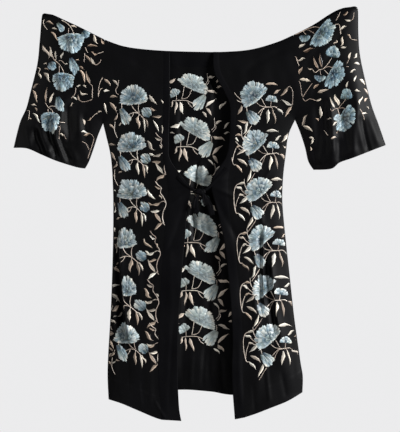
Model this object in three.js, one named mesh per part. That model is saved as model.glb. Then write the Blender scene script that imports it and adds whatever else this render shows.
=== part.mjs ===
// An embroidered silk jacket, hung up flat by the tops of its two sleeves.
//
// It is cut straight, like a kimono: one back, two fronts, wide straight sleeves, and a band
// that runs up one front edge, round the neck and down the other. Millimetres, +Z up, the
// front towards -Y. The origin is the middle of the line that joins the two hanging places.
//
// Every panel is one wall of cloth. Its outline lies in the XZ plane, and a depth field says
// how far its wall stands off the seam plane y = 0, where fronts and back meet: the back hangs
// nearly flat just behind it, and the fronts stand out before it.

import * as THREE from "three";

// ---- Cloth and seams ---------------------------------------------------------------------

const CLOTH = 2.0; // wall of one panel
const BAND = 3.0; // wall of the band, which is cloth folded double
const SEAM = 0.3; // between two pieces at their seam
const TIE = { width: 11, cloth: 2.4 };

// ---- How deep the hung jacket is -------------------------------------------------------------

const HEM_LEVEL = -1150;
const ROUNDING = 48; // how far from a closed edge the wall has nearly reached its depth

// ---- The hanging places: the sleeve corners lie over a straight edge ---------------------------

const HANG_LEVEL = { left: -10, right: 10 };
const HANG_RADIUS = 14; // of the seam plane, where it bends over the edge

// ---- Outline, as points [x, z] -----------------------------------------------------------------

const ARMHOLE_TOP = { left: [-282, -76], right: [282, -62] };
const UNDERARM = { left: [-288, -326], right: [288, -316] };
const HEM_CORNER = { left: [-271, -1154], right: [310, -1133] };
const SLEEVE_CORNER = { left: [-468, 15], right: [474, 38] };
const CUFF_OUTER = { left: [-556, -400], right: [560, -392] };
const CUFF_INNER = { left: [-342, -462], right: [344, -466] };

const SHOULDER_LINE = [
  ARMHOLE_TOP.left, [-231, -94], [-177, -103], [-99, -109], [0, -112],
  [78, -112], [156, -105], [231, -84], ARMHOLE_TOP.right,
];
const SLEEVE_TOP = {
  left: [ARMHOLE_TOP.left, [-318, -58], [-360, -37], [-414, -12], SLEEVE_CORNER.left],
  right: [ARMHOLE_TOP.right, [309, -49], [348, -28], [405, 8], SLEEVE_CORNER.right],
};
const SLEEVE_OUTER = {
  left: [SLEEVE_CORNER.left, [-472, -13], [-478, -85], [-485, -150], [-505, -232],
    [-518, -282], [-537, -325], CUFF_OUTER.left],
  right: [SLEEVE_CORNER.right, [477, 10], [478, -64], [484, -130], [507, -232],
    [520, -280], [538, -328], CUFF_OUTER.right],
};
const SLEEVE_INNER = {
  left: [UNDERARM.left, [-303, -362], [-315, -398], [-330, -440], CUFF_INNER.left],
  right: [UNDERARM.right, [303, -352], [318, -398], [328, -440], CUFF_INNER.right],
};
const CUFF_HEM = {
  left: [CUFF_OUTER.left, [-516, -402], [-471, -421], [-426, -440], [-368, -458], CUFF_INNER.left],
  right: [CUFF_OUTER.right, [513, -410], [462, -430], [420, -445], [396, -463], CUFF_INNER.right],
};
const SIDE_SEAM = {
  left: [UNDERARM.left, [-279, -362], [-264, -430], [-258, -520], [-257, -616], [-259, -734],
    [-264, -880], [-272, -1016], [-274, -1084], HEM_CORNER.left],
  right: [UNDERARM.right, [268, -362], [260, -420], [252, -490], [250, -562], [258, -656],
    [270, -764], [285, -902], [303, -1034], [311, -1084], HEM_CORNER.right],
};
const BACK_HEM = [HEM_CORNER.left, [-180, -1140], [-63, -1127], [33, -1132], [98, -1142],
  [200, -1142], HEM_CORNER.right];

// The band: its sewn edge and its free edge, each from the shoulder to the hem.
const BAND_SEAM = {
  left: [[-105, -109], [-106, -260], [-108, -390], [-104, -450], [-92, -520], [-97, -578],
    [-102, -646], [-112, -784], [-120, -922], [-122, -1060], [-116, -1180], [-114, -1211]],
  right: [[60, -112.5], [64, -170], [94, -230], [109, -280], [107, -374], [98, -430],
    [86, -508], [92, -602], [106, -694], [120, -830], [130, -970], [130, -1080], [138, -1204]],
};
const BAND_FREE = {
  left: [[-88, -110], [-88, -260], [-90, -385], [-84, -440], [-27, -524], [-36, -578],
    [-40, -646], [-52, -784], [-61, -922], [-64, -1060], [-60, -1170], [-53, -1215]],
  right: [[42, -112.5], [46, -176], [77, -236], [93, -280], [91, -374], [80, -430],
    [37, -504], [58, -602], [77, -694], [92, -830], [100, -970], [98, -1080], [107, -1210]],
};
const FRONT_HEM = {
  left: [HEM_CORNER.left, [-228, -1166], [-174, -1188], [-136, -1204], BAND_SEAM.left.at(-1)],
  right: [HEM_CORNER.right, [263, -1158], [216, -1176], [170, -1194], BAND_SEAM.right.at(-1)],
};
const NECK = { left: -94, right: 70.5, depth: 48, least: 3 }; // the band behind the neck

// ---- The largest folds, as ridges (+) and troughs (-) of a wall ----------------------------------

// from and to are the fold's ends [x, z]; width is its half width, rise how far it stands out.
const FRONT_FOLDS = [
  { from: [-256, -650], to: [-216, -1000], width: 13, rise: -9 },
  { from: [-200, -700], to: [-186, -1120], width: 20, rise: 6 },
  { from: [-252, -860], to: [-248, -1140], width: 12, rise: 7 },
  { from: [200, -640], to: [206, -900], width: 13, rise: -9 },
  { from: [232, -700], to: [252, -1110], width: 20, rise: 7 },
  { from: [168, -760], to: [176, -1180], width: 18, rise: 5 },
  { from: [-150, -900], to: [-146, -1190], width: 12, rise: 4 },
  { from: [-200, -150], to: [-70, -500], width: 24, rise: 3 },
  { from: [190, -140], to: [80, -480], width: 24, rise: 3 },
  { from: [-400, -240], to: [-448, -440], width: 15, rise: 7 },
  { from: [-368, -200], to: [-386, -452], width: 14, rise: -4.5 },
  { from: [-470, -300], to: [-500, -400], width: 12, rise: -5 },
  { from: [386, -240], to: [404, -450], width: 13, rise: 9 },
  { from: [420, -260], to: [452, -436], width: 12, rise: -5.5 },
  { from: [468, -220], to: [492, -420], width: 13, rise: 8 },
  { from: [350, -250], to: [364, -458], width: 12, rise: -4.5 },
];
const BACK_FOLDS = [
  { from: [-10, -430], to: [-16, -660], width: 12, rise: 6 },
  { from: [40, -760], to: [30, -1130], width: 16, rise: 6 },
  { from: [-60, -800], to: [-72, -1120], width: 14, rise: -5 },
  { from: [-190, -500], to: [-200, -1130], width: 22, rise: 6 },
  { from: [190, -520], to: [214, -1130], width: 22, rise: 6 },
  { from: [130, -600], to: [140, -1000], width: 16, rise: -5 },
  { from: [-130, -560], to: [-136, -980], width: 16, rise: -5 },
  { from: [-420, -220], to: [-450, -430], width: 16, rise: 6 },
  { from: [424, -230], to: [450, -430], width: 16, rise: 6 },
  { from: [-370, -260], to: [-384, -450], width: 13, rise: -5 },
  { from: [376, -260], to: [388, -450], width: 13, rise: -5 },
];
const FOLD_END = 0.22; // share of a fold's length over which it fades in and out

// The two layers: which side of the seam plane, and how far off it level with the hanging
// line and at the hem.
const FRONT = { side: -1, atTop: 14, atHem: 28, folds: FRONT_FOLDS };
const BACK = { side: 1, atTop: 4, atHem: 6, folds: BACK_FOLDS };

// ---- Grid steps of the panels ---------------------------------------------------------------------

const STEPS = {
  bodyDown: 30,
  backAcross: 24,
  frontAcross: 9,
  bandAcross: 2,
  sleeveAcross: 12,
  sleeveDown: 14,
  neckDown: 2,
  tieAlong: 12,
};

const silk = new THREE.MeshStandardMaterial({ color: 0x15161a, roughness: 0.55, metalness: 0 });
const jacket = new THREE.Group();

// ---- Curves and outlines -------------------------------------------------------------------------------

const mix = (a, b, t) => a + (b - a) * t;

function smooth(t) {
  const clamped = Math.min(1, Math.max(0, t));
  return clamped * clamped * (3 - 2 * clamped);
}

// A smooth line through points [x, z], as a function of 0..1 along its length.
function line(points) {
  const spline = new THREE.SplineCurve(points.map(([x, z]) => new THREE.Vector2(x, z)));
  spline.arcLengthDivisions = 400;
  return (t) => spline.getPointAt(t).toArray();
}

// The same line moved sideways, for the gap at a seam.
function shifted(curve, dx, dz = 0) {
  return (t) => {
    const [x, z] = curve(t);
    return [x + dx, z + dz];
  };
}

// Two lines end to end. The first takes the share `part` of 0..1.
function joined(first, second, part) {
  return (t) => (t < part ? first(t / part) : second((t - part) / (1 - part)));
}

// The flat panel between four edge lines: a point for each u across and v down.
function patch(top, bottom, left, right) {
  const corner = { tl: top(0), tr: top(1), bl: bottom(0), br: bottom(1) };
  return (u, v) => [0, 1].map((k) => {
    const down = mix(top(u)[k], bottom(u)[k], v);
    const across = mix(left(v)[k], right(v)[k], u);
    const corners = mix(mix(corner.tl[k], corner.tr[k], u), mix(corner.bl[k], corner.br[k], u), v);
    return down + across - corners;
  });
}

// ---- The depth field -------------------------------------------------------------------------------------

const CLOSED_EDGES = [
  SHOULDER_LINE, SLEEVE_TOP.left, SLEEVE_TOP.right, SLEEVE_OUTER.left, SLEEVE_OUTER.right,
  SLEEVE_INNER.left, SLEEVE_INNER.right, SIDE_SEAM.left, SIDE_SEAM.right,
].map((points) => {
  const curve = line(points);
  const samples = 60;
  return Array.from({ length: samples + 1 }, (_, i) => curve(i / samples));
});

// Distance from a point to a stretch between two points, and how far along it the nearest place is.
function toStretch([px, pz], [ax, az], [bx, bz]) {
  const dx = bx - ax;
  const dz = bz - az;
  const along = ((px - ax) * dx + (pz - az) * dz) / (dx * dx + dz * dz);
  const t = Math.min(1, Math.max(0, along));
  return { distance: Math.hypot(px - ax - dx * t, pz - az - dz * t), along: t };
}

function toClosedEdge(point) {
  let nearest = Infinity;
  for (const edge of CLOSED_EDGES) {
    for (let i = 1; i < edge.length; i += 1) {
      nearest = Math.min(nearest, toStretch(point, edge[i - 1], edge[i]).distance);
    }
  }
  return nearest;
}

function foldHeight(point, folds) {
  let height = 0;
  for (const fold of folds) {
    const { distance, along } = toStretch(point, fold.from, fold.to);
    const fade = smooth(along / FOLD_END) * smooth((1 - along) / FOLD_END);
    height += fold.rise * fade * Math.exp(-((distance / fold.width) ** 2));
  }
  return height;
}

// How far a wall's inner face stands from the seam plane. Never less than half a seam.
function standOff(point, layer) {
  const hollow = mix(layer.atTop, layer.atHem, smooth(point[1] / HEM_LEVEL));
  const rounded = 1 - Math.exp(-toClosedEdge(point) / ROUNDING);
  return SEAM / 2 + Math.max(0, rounded * (hollow + foldHeight(point, layer.folds)));
}

// Cloth above the hanging level bends back over the edge that it hangs on.
function overTheEdge(x, y, z) {
  const level = x < 0 ? HANG_LEVEL.left : HANG_LEVEL.right;
  if (z <= level) {
    return [x, y, z];
  }
  const angle = (z - level) / HANG_RADIUS;
  const radius = HANG_RADIUS - y;
  return [x, HANG_RADIUS - radius * Math.cos(angle), level + radius * Math.sin(angle)];
}

// ---- Solids -------------------------------------------------------------------------------------------------

// A closed solid between two grids of points, rows[j][i], with a rim round their edge.
function betweenGrids(first, second) {
  const down = first.length;
  const across = first[0].length;
  const positions = [...first.flat(), ...second.flat()].flat();
  const index = [];
  const at = (layer, j, i) => layer * down * across + j * across + i;
  const quad = (a, b, c, d) => index.push(a, b, c, a, c, d);
  for (let j = 1; j < down; j += 1) {
    for (let i = 1; i < across; i += 1) {
      quad(at(0, j - 1, i - 1), at(0, j, i - 1), at(0, j, i), at(0, j - 1, i));
      quad(at(1, j - 1, i - 1), at(1, j - 1, i), at(1, j, i), at(1, j, i - 1));
    }
  }
  for (let i = 1; i < across; i += 1) {
    quad(at(0, 0, i - 1), at(0, 0, i), at(1, 0, i), at(1, 0, i - 1));
    quad(at(0, down - 1, i), at(0, down - 1, i - 1), at(1, down - 1, i - 1), at(1, down - 1, i));
  }
  for (let j = 1; j < down; j += 1) {
    quad(at(0, j, 0), at(0, j - 1, 0), at(1, j - 1, 0), at(1, j, 0));
    quad(at(0, j - 1, across - 1), at(0, j, across - 1), at(1, j, across - 1), at(1, j - 1, across - 1));
  }
  const geometry = new THREE.BufferGeometry();
  geometry.setAttribute("position", new THREE.Float32BufferAttribute(positions, 3));
  geometry.setIndex(signedVolume(positions, index) < 0 ? index.reverse() : index);
  return geometry;
}

function signedVolume(positions, index) {
  const corner = (k) => new THREE.Vector3().fromArray(positions, 3 * index[k]);
  let six = 0;
  for (let k = 0; k < index.length; k += 3) {
    six += corner(k).dot(corner(k + 1).cross(corner(k + 2)));
  }
  return six / 6;
}

function addPiece(name, geometry) {
  geometry.computeVertexNormals();
  const mesh = new THREE.Mesh(geometry, silk);
  mesh.name = name;
  jacket.add(mesh);
}

// One wall of cloth on a flat panel, in one of the two layers.
function addWall(name, { flat, across, down, layer, wall = CLOTH }) {
  const inner = [];
  const outer = [];
  for (let j = 0; j <= down; j += 1) {
    const row = Array.from({ length: across + 1 }, (_, i) => flat(i / across, j / down));
    const off = row.map((point) => standOff(point, layer));
    inner.push(row.map(([x, z], i) => overTheEdge(x, layer.side * off[i], z)));
    outer.push(row.map(([x, z], i) => overTheEdge(x, layer.side * (off[i] + wall), z)));
  }
  addPiece(name, betweenGrids(inner, outer));
}

// A strip of cloth along a path of points [x, y, z]. Its width lies along `across`.
function addStrip(name, { path, across, width, cloth }) {
  const curve = new THREE.CatmullRomCurve3(path.map((p) => new THREE.Vector3(...p)));
  const faces = [[], []];
  for (let j = 0; j <= STEPS.tieAlong; j += 1) {
    const centre = curve.getPointAt(j / STEPS.tieAlong);
    const tangent = curve.getTangentAt(j / STEPS.tieAlong);
    const up = tangent.clone().cross(new THREE.Vector3(...across)).normalize();
    const side = up.clone().cross(tangent).normalize();
    faces.forEach((rows, k) => {
      const lifted = centre.clone().addScaledVector(up, (k - 0.5) * cloth);
      rows.push([-0.5, 0.5].map((s) => lifted.clone().addScaledVector(side, s * width).toArray()));
    });
  }
  addPiece(name, betweenGrids(faces[0], faces[1]));
}

// ---- Body ----------------------------------------------------------------------------------------------------

const half = SEAM / 2;
const shoulder = line(SHOULDER_LINE);

// Height of the shoulder line at x, read from fine steps along it.
function shoulderAt(x) {
  const steps = 400;
  for (let i = 1; i <= steps; i += 1) {
    const [x1, z1] = shoulder(i / steps);
    if (x1 >= x) {
      const [x0, z0] = shoulder((i - 1) / steps);
      return mix(z0, z1, (x - x0) / (x1 - x0));
    }
  }
  return ARMHOLE_TOP.right[1];
}

// The seam behind the neck: it dips below the shoulder line in a flat curve.
function neckDip(x) {
  const middle = (NECK.left + NECK.right) / 2;
  const reach = Math.abs(x - middle) / ((NECK.right - NECK.left) / 2);
  if (reach > 1 + 1e-9) {
    return 0;
  }
  return Math.max(NECK.least, NECK.depth * Math.sqrt(Math.max(0, 1 - reach ** 4)));
}

// Armhole and side seam of one side of the body, from the shoulder to the hem.
function bodySide(side, dx) {
  const armhole = line([ARMHOLE_TOP[side], UNDERARM[side]]);
  const seam = line(SIDE_SEAM[side]);
  const armholeSteps = 7;
  return shifted(joined(armhole, seam, armholeSteps / STEPS.bodyDown), dx);
}

const topOfBack = (u) => {
  const x = mix(ARMHOLE_TOP.left[0] + half, ARMHOLE_TOP.right[0] - half, u);
  const dip = neckDip(x);
  return [x, shoulderAt(x) - (dip > 0 ? dip + SEAM : 0)];
};

addWall("back", {
  flat: patch(topOfBack, line(BACK_HEM), bodySide("left", half), bodySide("right", -half)),
  across: STEPS.backAcross,
  down: STEPS.bodyDown,
  layer: BACK,
});

// Each front runs from its armhole and side seam to the sewn edge of its band.
for (const side of ["left", "right"]) {
  const inward = side === "left" ? half : -half;
  const start = ARMHOLE_TOP[side][0] + inward;
  const end = BAND_SEAM[side][0][0] - inward;
  const top = (u) => {
    const x = mix(start, end, u);
    return [x, shoulderAt(x)];
  };
  addWall(`front_${side}`, {
    flat: patch(
      top,
      line(FRONT_HEM[side]),
      bodySide(side, inward),
      shifted(line(BAND_SEAM[side]), -inward),
    ),
    across: STEPS.frontAcross,
    down: STEPS.bodyDown,
    layer: FRONT,
  });
}

// ---- The band round the opening ------------------------------------------------------------------------------

for (const side of ["left", "right"]) {
  const inward = side === "left" ? half : -half;
  const seam = shifted(line(BAND_SEAM[side]), inward);
  const free = line(BAND_FREE[side]);
  addWall(`front_band_${side}`, {
    flat: (u, v) => {
      const [x0, z0] = seam(v);
      const [x1, z1] = free(v);
      return [mix(x0, x1, u), mix(z0, z1, u)];
    },
    across: STEPS.bandAcross,
    down: STEPS.bodyDown,
    layer: FRONT,
    wall: BAND,
  });
}

const neckSteps = Math.round(((NECK.right - NECK.left) / (ARMHOLE_TOP.right[0] * 2)) * STEPS.backAcross);
addWall("neck_band", {
  flat: (u, v) => {
    const x = mix(NECK.left, NECK.right, u);
    return [x, shoulderAt(x) - v * neckDip(x)];
  },
  across: neckSteps,
  down: STEPS.neckDown,
  layer: BACK,
  wall: BAND,
});

// ---- Sleeves: a front and a back wall each, sewn along the top fold and the underarm ----------------------------

for (const side of ["left", "right"]) {
  const outward = side === "left" ? -half : half;
  const armhole = shifted(line([ARMHOLE_TOP[side], UNDERARM[side]]), outward);
  const topFold = line(SLEEVE_TOP[side]);
  const outerFold = line(SLEEVE_OUTER[side]);
  const hem = line(CUFF_HEM[side]);
  const flat = patch(
    joined((t) => armhole(1 - t), topFold, 0.5),
    (t) => hem(1 - t),
    line(SLEEVE_INNER[side]),
    outerFold,
  );
  addWall(`sleeve_${side}_front`, {
    flat, across: STEPS.sleeveAcross, down: STEPS.sleeveDown, layer: FRONT,
  });
  addWall(`sleeve_${side}_back`, {
    flat, across: STEPS.sleeveAcross, down: STEPS.sleeveDown, layer: BACK,
  });
}

// ---- Ties, tied in a small bow ------------------------------------------------------------------------------------

// Where a tie lies on the band: its centre in front of the band's outer face.
function onBand(x, z) {
  return [x, -(standOff([x, z], FRONT) + BAND + 2 * SEAM + TIE.cloth / 2), z];
}

const KNOT = { centre: onBand(4, -532), radii: [17, 7, 9] };
const besideKnot = (dx, dy, dz) => KNOT.centre.map((value, k) => value + [dx, dy, dz][k]);

const knot = new THREE.SphereGeometry(1, 18, 12).scale(...KNOT.radii).translate(...KNOT.centre);
addPiece("tie_knot", knot);

const STRIPS = [
  {
    name: "tie_left",
    across: [1, 0, 1.1],
    path: [onBand(-62, -486), onBand(-44, -505), besideKnot(-17.6, 0, 2)],
  },
  {
    name: "tie_right",
    across: [1, 0, -1.1],
    path: [onBand(84, -462), onBand(60, -489), besideKnot(16.4, 0, 5)],
  },
  {
    name: "tie_end_left",
    across: [1, 0, 0],
    path: [besideKnot(-6, 6, -7), besideKnot(-10, 6, -33), besideKnot(-13, 6, -66)],
  },
  {
    name: "tie_end_right",
    across: [1, 0, 0],
    path: [besideKnot(9, 6, -6.1), besideKnot(22, 5, -33), besideKnot(34, 4, -70)],
  },
];

// A bow loop leaves the knot, turns at its lowest point and comes back behind itself.
const LOOPS = [
  { name: "bow_loop_left", start: [-8, -5, -7.1], low: [-15, -10, -51], rear: 6 },
  { name: "bow_loop_right", start: [9, -5, -6.6], low: [18, -10, -40], rear: 6 },
];
for (const { name, start, low, rear } of LOOPS) {
  const halfway = start.map((value, k) => mix(value, low[k], 0.5));
  const path = [
    start,
    [halfway[0] - 2, halfway[1] - 3, halfway[2]],
    low,
    [halfway[0] + 1, halfway[1] + rear, halfway[2]],
    [start[0], start[1] + rear, start[2] - 1.6],
  ];
  STRIPS.push({ name, across: [1, 0, 0], path: path.map((offset) => besideKnot(...offset)) });
}

for (const { name, across, path } of STRIPS) {
  addStrip(name, { path, across, ...TIE });
}

export default jacket;
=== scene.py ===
"""The dressed silk jacket: cloth with its folds, embroidery, band, ties and a plain studio.

Everything is worked out in one flat plan, in millimetres: x across and z up, as the jacket
hangs. A depth field then sets each point of the plan off the seam plane y = 0, and what lies
above a hanging place goes back over its edge. Only the finished meshes are in metres.
"""
from __future__ import annotations

import logging
import math
from contextlib import contextmanager
from dataclasses import dataclass, field, replace
from enum import Enum
from typing import Callable, Iterator, Sequence

import bmesh
import bpy
import numpy as np
from bpy.types import Material, Mesh, Node, NodeSocket, NodeTree, Object
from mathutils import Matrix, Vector

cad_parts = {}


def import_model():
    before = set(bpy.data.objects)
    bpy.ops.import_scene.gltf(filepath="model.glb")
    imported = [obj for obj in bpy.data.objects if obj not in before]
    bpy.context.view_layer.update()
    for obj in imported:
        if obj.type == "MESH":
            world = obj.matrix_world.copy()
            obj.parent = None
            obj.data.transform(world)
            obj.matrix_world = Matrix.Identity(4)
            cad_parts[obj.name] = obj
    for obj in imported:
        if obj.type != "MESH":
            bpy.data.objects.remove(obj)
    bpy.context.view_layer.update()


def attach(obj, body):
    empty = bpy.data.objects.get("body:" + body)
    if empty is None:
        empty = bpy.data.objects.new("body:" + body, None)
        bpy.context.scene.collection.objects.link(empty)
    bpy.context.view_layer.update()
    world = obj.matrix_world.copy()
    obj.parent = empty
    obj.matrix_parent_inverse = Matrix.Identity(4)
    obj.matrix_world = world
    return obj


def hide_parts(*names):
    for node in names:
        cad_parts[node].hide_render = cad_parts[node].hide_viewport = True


log = logging.getLogger("jacket")

Point = tuple[float, float]
Points = np.ndarray
Number = float | np.ndarray
PlanLine = Callable[[Points], Points]

MM = 0.001  # one millimetre of the plan, in metres
SEAM = 0.3  # mm between the fronts and the back where they are sewn together
CLOTH = 2.0  # mm of room that a panel takes up
BAND = 3.0  # mm of room that a band takes up
SILK = 0.9  # mm, the wall of the silk as it is shown
SEWN = 2.0  # mm from a sewn edge within which two layers come together
UNDERLAP = 2.0  # mm that a panel runs on under the one that is sewn over it

# ---- Outline of the plan, as points (x, z) ---------------


class Side(Enum):
    """The two sides of the jacket, as its front is looked at."""

    LEFT = "left"
    RIGHT = "right"

    @property
    def sign(self) -> int:
        """Which way the side lies along X."""
        return -1 if self is Side.LEFT else 1


L, R = Side.LEFT, Side.RIGHT
HANG_LEVEL = {L: -10.0, R: 10.0}  # height from which the cloth goes back over its edge
HANG_RADIUS = 14.0  # mm, of that bend
HEM_LEVEL = -1150.0  # height at which the layers stand as far off as at the hem
ROUNDING = 48.0  # mm over which the layers swell out from a closed edge

ARMHOLE_TOP = {L: (-282, -76), R: (282, -62)}
UNDERARM = {L: (-288, -326), R: (288, -316)}
HEM_CORNER = {L: (-271, -1154), R: (310, -1133)}
SLEEVE_CORNER = {L: (-468, 15), R: (474, 38)}
CUFF_OUTER = {L: (-556, -400), R: (560, -392)}
CUFF_INNER = {L: (-342, -462), R: (344, -466)}
SHOULDER_LINE = [
    ARMHOLE_TOP[L], (-231, -94), (-177, -103), (-99, -109), (0, -112),
    (78, -112), (156, -105), (231, -84), ARMHOLE_TOP[R],
]
SLEEVE_TOP = {
    L: [ARMHOLE_TOP[L], (-318, -58), (-360, -37), (-414, -12), SLEEVE_CORNER[L]],
    R: [ARMHOLE_TOP[R], (309, -49), (348, -28), (405, 8), SLEEVE_CORNER[R]],
}
SLEEVE_OUTER = {
    L: [SLEEVE_CORNER[L], (-472, -13), (-478, -85), (-485, -150), (-505, -232),
        (-518, -282), (-537, -325), CUFF_OUTER[L]],
    R: [SLEEVE_CORNER[R], (477, 10), (478, -64), (484, -130), (507, -232),
        (520, -280), (538, -328), CUFF_OUTER[R]],
}
SLEEVE_INNER = {
    L: [UNDERARM[L], (-303, -362), (-315, -398), (-330, -440), CUFF_INNER[L]],
    R: [UNDERARM[R], (303, -352), (318, -398), (328, -440), CUFF_INNER[R]],
}
CUFF_HEM = {
    L: [CUFF_OUTER[L], (-516, -402), (-471, -421), (-426, -440), (-368, -458), CUFF_INNER[L]],
    R: [CUFF_OUTER[R], (513, -410), (462, -430), (420, -445), (396, -463), CUFF_INNER[R]],
}
SIDE_SEAM = {
    L: [UNDERARM[L], (-279, -362), (-264, -430), (-258, -520), (-257, -616), (-259, -734),
        (-264, -880), (-272, -1016), (-274, -1084), HEM_CORNER[L]],
    R: [UNDERARM[R], (268, -362), (260, -420), (252, -490), (250, -562), (258, -656),
        (270, -764), (285, -902), (303, -1034), (311, -1084), HEM_CORNER[R]],
}
BACK_HEM = [HEM_CORNER[L], (-180, -1140), (-63, -1127), (33, -1132), (98, -1142),
            (200, -1142), HEM_CORNER[R]]
BAND_SEAM = {
    L: [(-105, -109), (-106, -260), (-108, -390), (-104, -450), (-92, -520), (-97, -578),
        (-102, -646), (-112, -784), (-120, -922), (-122, -1060), (-116, -1180), (-114, -1211)],
    R: [(60, -112.5), (64, -170), (94, -230), (109, -280), (107, -374), (98, -430),
        (86, -508), (92, -602), (106, -694), (120, -830), (130, -970), (130, -1080), (138, -1204)],
}
BAND_FREE = {
    L: [(-88, -110), (-88, -260), (-90, -385), (-84, -440), (-27, -524), (-36, -578),
        (-40, -646), (-52, -784), (-61, -922), (-64, -1060), (-60, -1170), (-53, -1215)],
    R: [(42, -112.5), (46, -176), (77, -236), (93, -280), (91, -374), (80, -430),
        (37, -504), (58, -602), (77, -694), (92, -830), (100, -970), (98, -1080), (107, -1210)],
}
FRONT_HEM = {
    L: [HEM_CORNER[L], (-228, -1166), (-174, -1188), (-136, -1204), BAND_SEAM[L][-1]],
    R: [HEM_CORNER[R], (263, -1158), (216, -1176), (170, -1194), BAND_SEAM[R][-1]],
}
NECK_LEFT, NECK_RIGHT = -94.0, 70.5
NECK_DEPTH, NECK_LEAST = 48.0, 3.0  # how far the neck is cut below the shoulders, and at least

# ---- Plan geometry ---------------------------------------


def mix(a: Number, b: Number, t: Number) -> Number:
    """Straight blend from a to b."""
    return a + (b - a) * t


def smooth(t: Number) -> Number:
    """A soft step from 0 to 1."""
    clamped = np.clip(t, 0.0, 1.0)
    return clamped * clamped * (3 - 2 * clamped)


class Line:
    """A smooth line through points, measured along its own length.

    Args:
        points: the points that it passes through, in order.
    """

    SAMPLES = 400

    def __init__(self, points: Sequence[Sequence[float]]) -> None:
        """Samples the line."""
        knots = np.array(points, float)
        last = len(knots) - 1
        t = np.linspace(0, last, self.SAMPLES + 1)
        i = np.minimum(t.astype(int), last - 1)
        f = (t - i)[:, None]
        before, start = knots[np.maximum(i - 1, 0)], knots[i]
        end, after = knots[i + 1], knots[np.minimum(i + 2, last)]
        leave, arrive = (end - before) / 2, (after - start) / 2
        cubic = 2 * start - 2 * end + leave + arrive
        square = -3 * start + 3 * end - 2 * leave - arrive
        self.path = cubic * f**3 + square * f**2 + leave * f + start
        steps = np.linalg.norm(np.diff(self.path, axis=0), axis=1)
        self.length = float(steps.sum())
        self.measure = np.r_[0, np.cumsum(steps)] / self.length

    def __call__(self, t: Points) -> Points:
        """The points at the shares t of the line's length."""
        return np.stack([np.interp(t, self.measure, column) for column in self.path.T], axis=-1)


def shifted(line: PlanLine, dx: float) -> PlanLine:
    """The same line moved sideways by dx."""
    return lambda t: line(t) + np.array([dx, 0.0])


def reversed_line(line: PlanLine) -> PlanLine:
    """The same line run from its other end."""
    return lambda t: line(1 - np.asarray(t))


def joined(first: PlanLine, second: PlanLine, part: float) -> PlanLine:
    """Two lines end to end.

    Args:
        first: the first line.
        second: the second line.
        part: the share of the whole that the first one takes.

    Returns:
        The whole line.
    """

    def both(t: Points) -> Points:
        """The points at the shares t of the whole."""
        t = np.asarray(t, float)
        early = first(np.clip(t / part, 0, 1))
        late = second(np.clip((t - part) / (1 - part), 0, 1))
        return np.where((t < part)[..., None], early, late)

    return both


def patch(top: PlanLine, bottom: PlanLine, left: PlanLine, right: PlanLine) -> Callable:
    """The flat panel between four edge lines.

    Args:
        top: the upper edge, from left to right.
        bottom: the lower edge, from left to right.
        left: the left edge, downwards.
        right: the right edge, downwards.

    Returns:
        A function from arrays u, across, and v, down, to plan points.
    """

    def flat(u: Points, v: Points) -> Points:
        """The plan points at u and v."""
        a, b = u[..., None], v[..., None]
        zero, one = np.zeros(1), np.ones(1)
        upper = mix(top(zero), top(one), a)
        lower = mix(bottom(zero), bottom(one), a)
        return mix(top(u), bottom(u), b) + mix(left(v), right(v), a) - mix(upper, lower, b)

    return flat


def to_stretch(points: Points, a: Points, b: Points) -> tuple[Points, Points]:
    """Distance from points to the stretch a to b, and how far along it the nearest place is."""
    way = b - a
    along = np.clip((points - a) @ way / max(float(way @ way), 1e-9), 0, 1)
    gap = points - a - along[:, None] * way
    return np.hypot(gap[:, 0], gap[:, 1]), along


CLOSED_EDGES = [SHOULDER_LINE] + [
    edge[side] for edge in (SLEEVE_TOP, SLEEVE_OUTER, SLEEVE_INNER, SIDE_SEAM) for side in Side
]
EDGE_STOPS = np.linspace(0, 1, 41)


def to_closed_edge(points: Points) -> Points:
    """Distance from each plan point to the nearest edge where fronts and back meet."""
    nearest = np.full(len(points), np.inf)
    for edge in CLOSED_EDGES:
        stops = Line(edge)(EDGE_STOPS)
        for a, b in zip(stops[:-1], stops[1:]):
            nearest = np.minimum(nearest, to_stretch(points, a, b)[0])
    return nearest


# ---- Folds and depth -------------------------------------


@dataclass(frozen=True)
class Fold:
    """A soft ridge (rise over 0) or trough (under 0) of the cloth, in millimetres.

    bow bends its line to the right, as it runs from start to end, and edge under 1 makes that
    side steeper.
    """

    start: Point
    end: Point
    width: float
    rise: float
    bow: float = 0.0
    edge: float = 1.0

    BENDS = 7  # straight stretches that a bowed line is made of
    FADE = 0.22  # share of the line over which the fold dies away at each end
    REACH = 3.0  # widths beyond which it lifts nothing

    def height(self, points: Points) -> Points:
        """How far the fold lifts the cloth.

        Args:
            points: plan points.

        Returns:
            The lift at each, in millimetres.
        """
        a, b = np.array(self.start, float), np.array(self.end, float)
        way = b - a
        across = np.array([way[1], -way[0]]) / max(np.hypot(*way), 1e-9)
        reach = self.REACH * self.width + abs(self.bow)
        near = ((points > np.minimum(a, b) - reach) & (points < np.maximum(a, b) + reach)).all(1)
        result = np.zeros(len(points))
        if not near.any():
            return result
        inside = points[near]
        stops = np.linspace(0, 1, self.BENDS + 1 if self.bow else 2)
        curve = a + stops[:, None] * way + (4 * self.bow * stops * (1 - stops))[:, None] * across
        best = np.full(len(inside), np.inf)
        along = np.zeros(len(inside))
        for k in range(len(stops) - 1):
            gap, t = to_stretch(inside, curve[k], curve[k + 1])
            closer = gap < best
            best = np.where(closer, gap, best)
            along = np.where(closer, mix(stops[k], stops[k + 1], t), along)
        middle = a + along[:, None] * way + (4 * self.bow * along * (1 - along))[:, None] * across
        steep = ((inside - middle) @ across) > 0
        width = np.where(steep, self.width * self.edge, self.width)
        fade = smooth(along / self.FADE) * smooth((1 - along) / self.FADE)
        result[near] = self.rise * fade * np.exp(-((best / width) ** 2))
        return result


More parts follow.
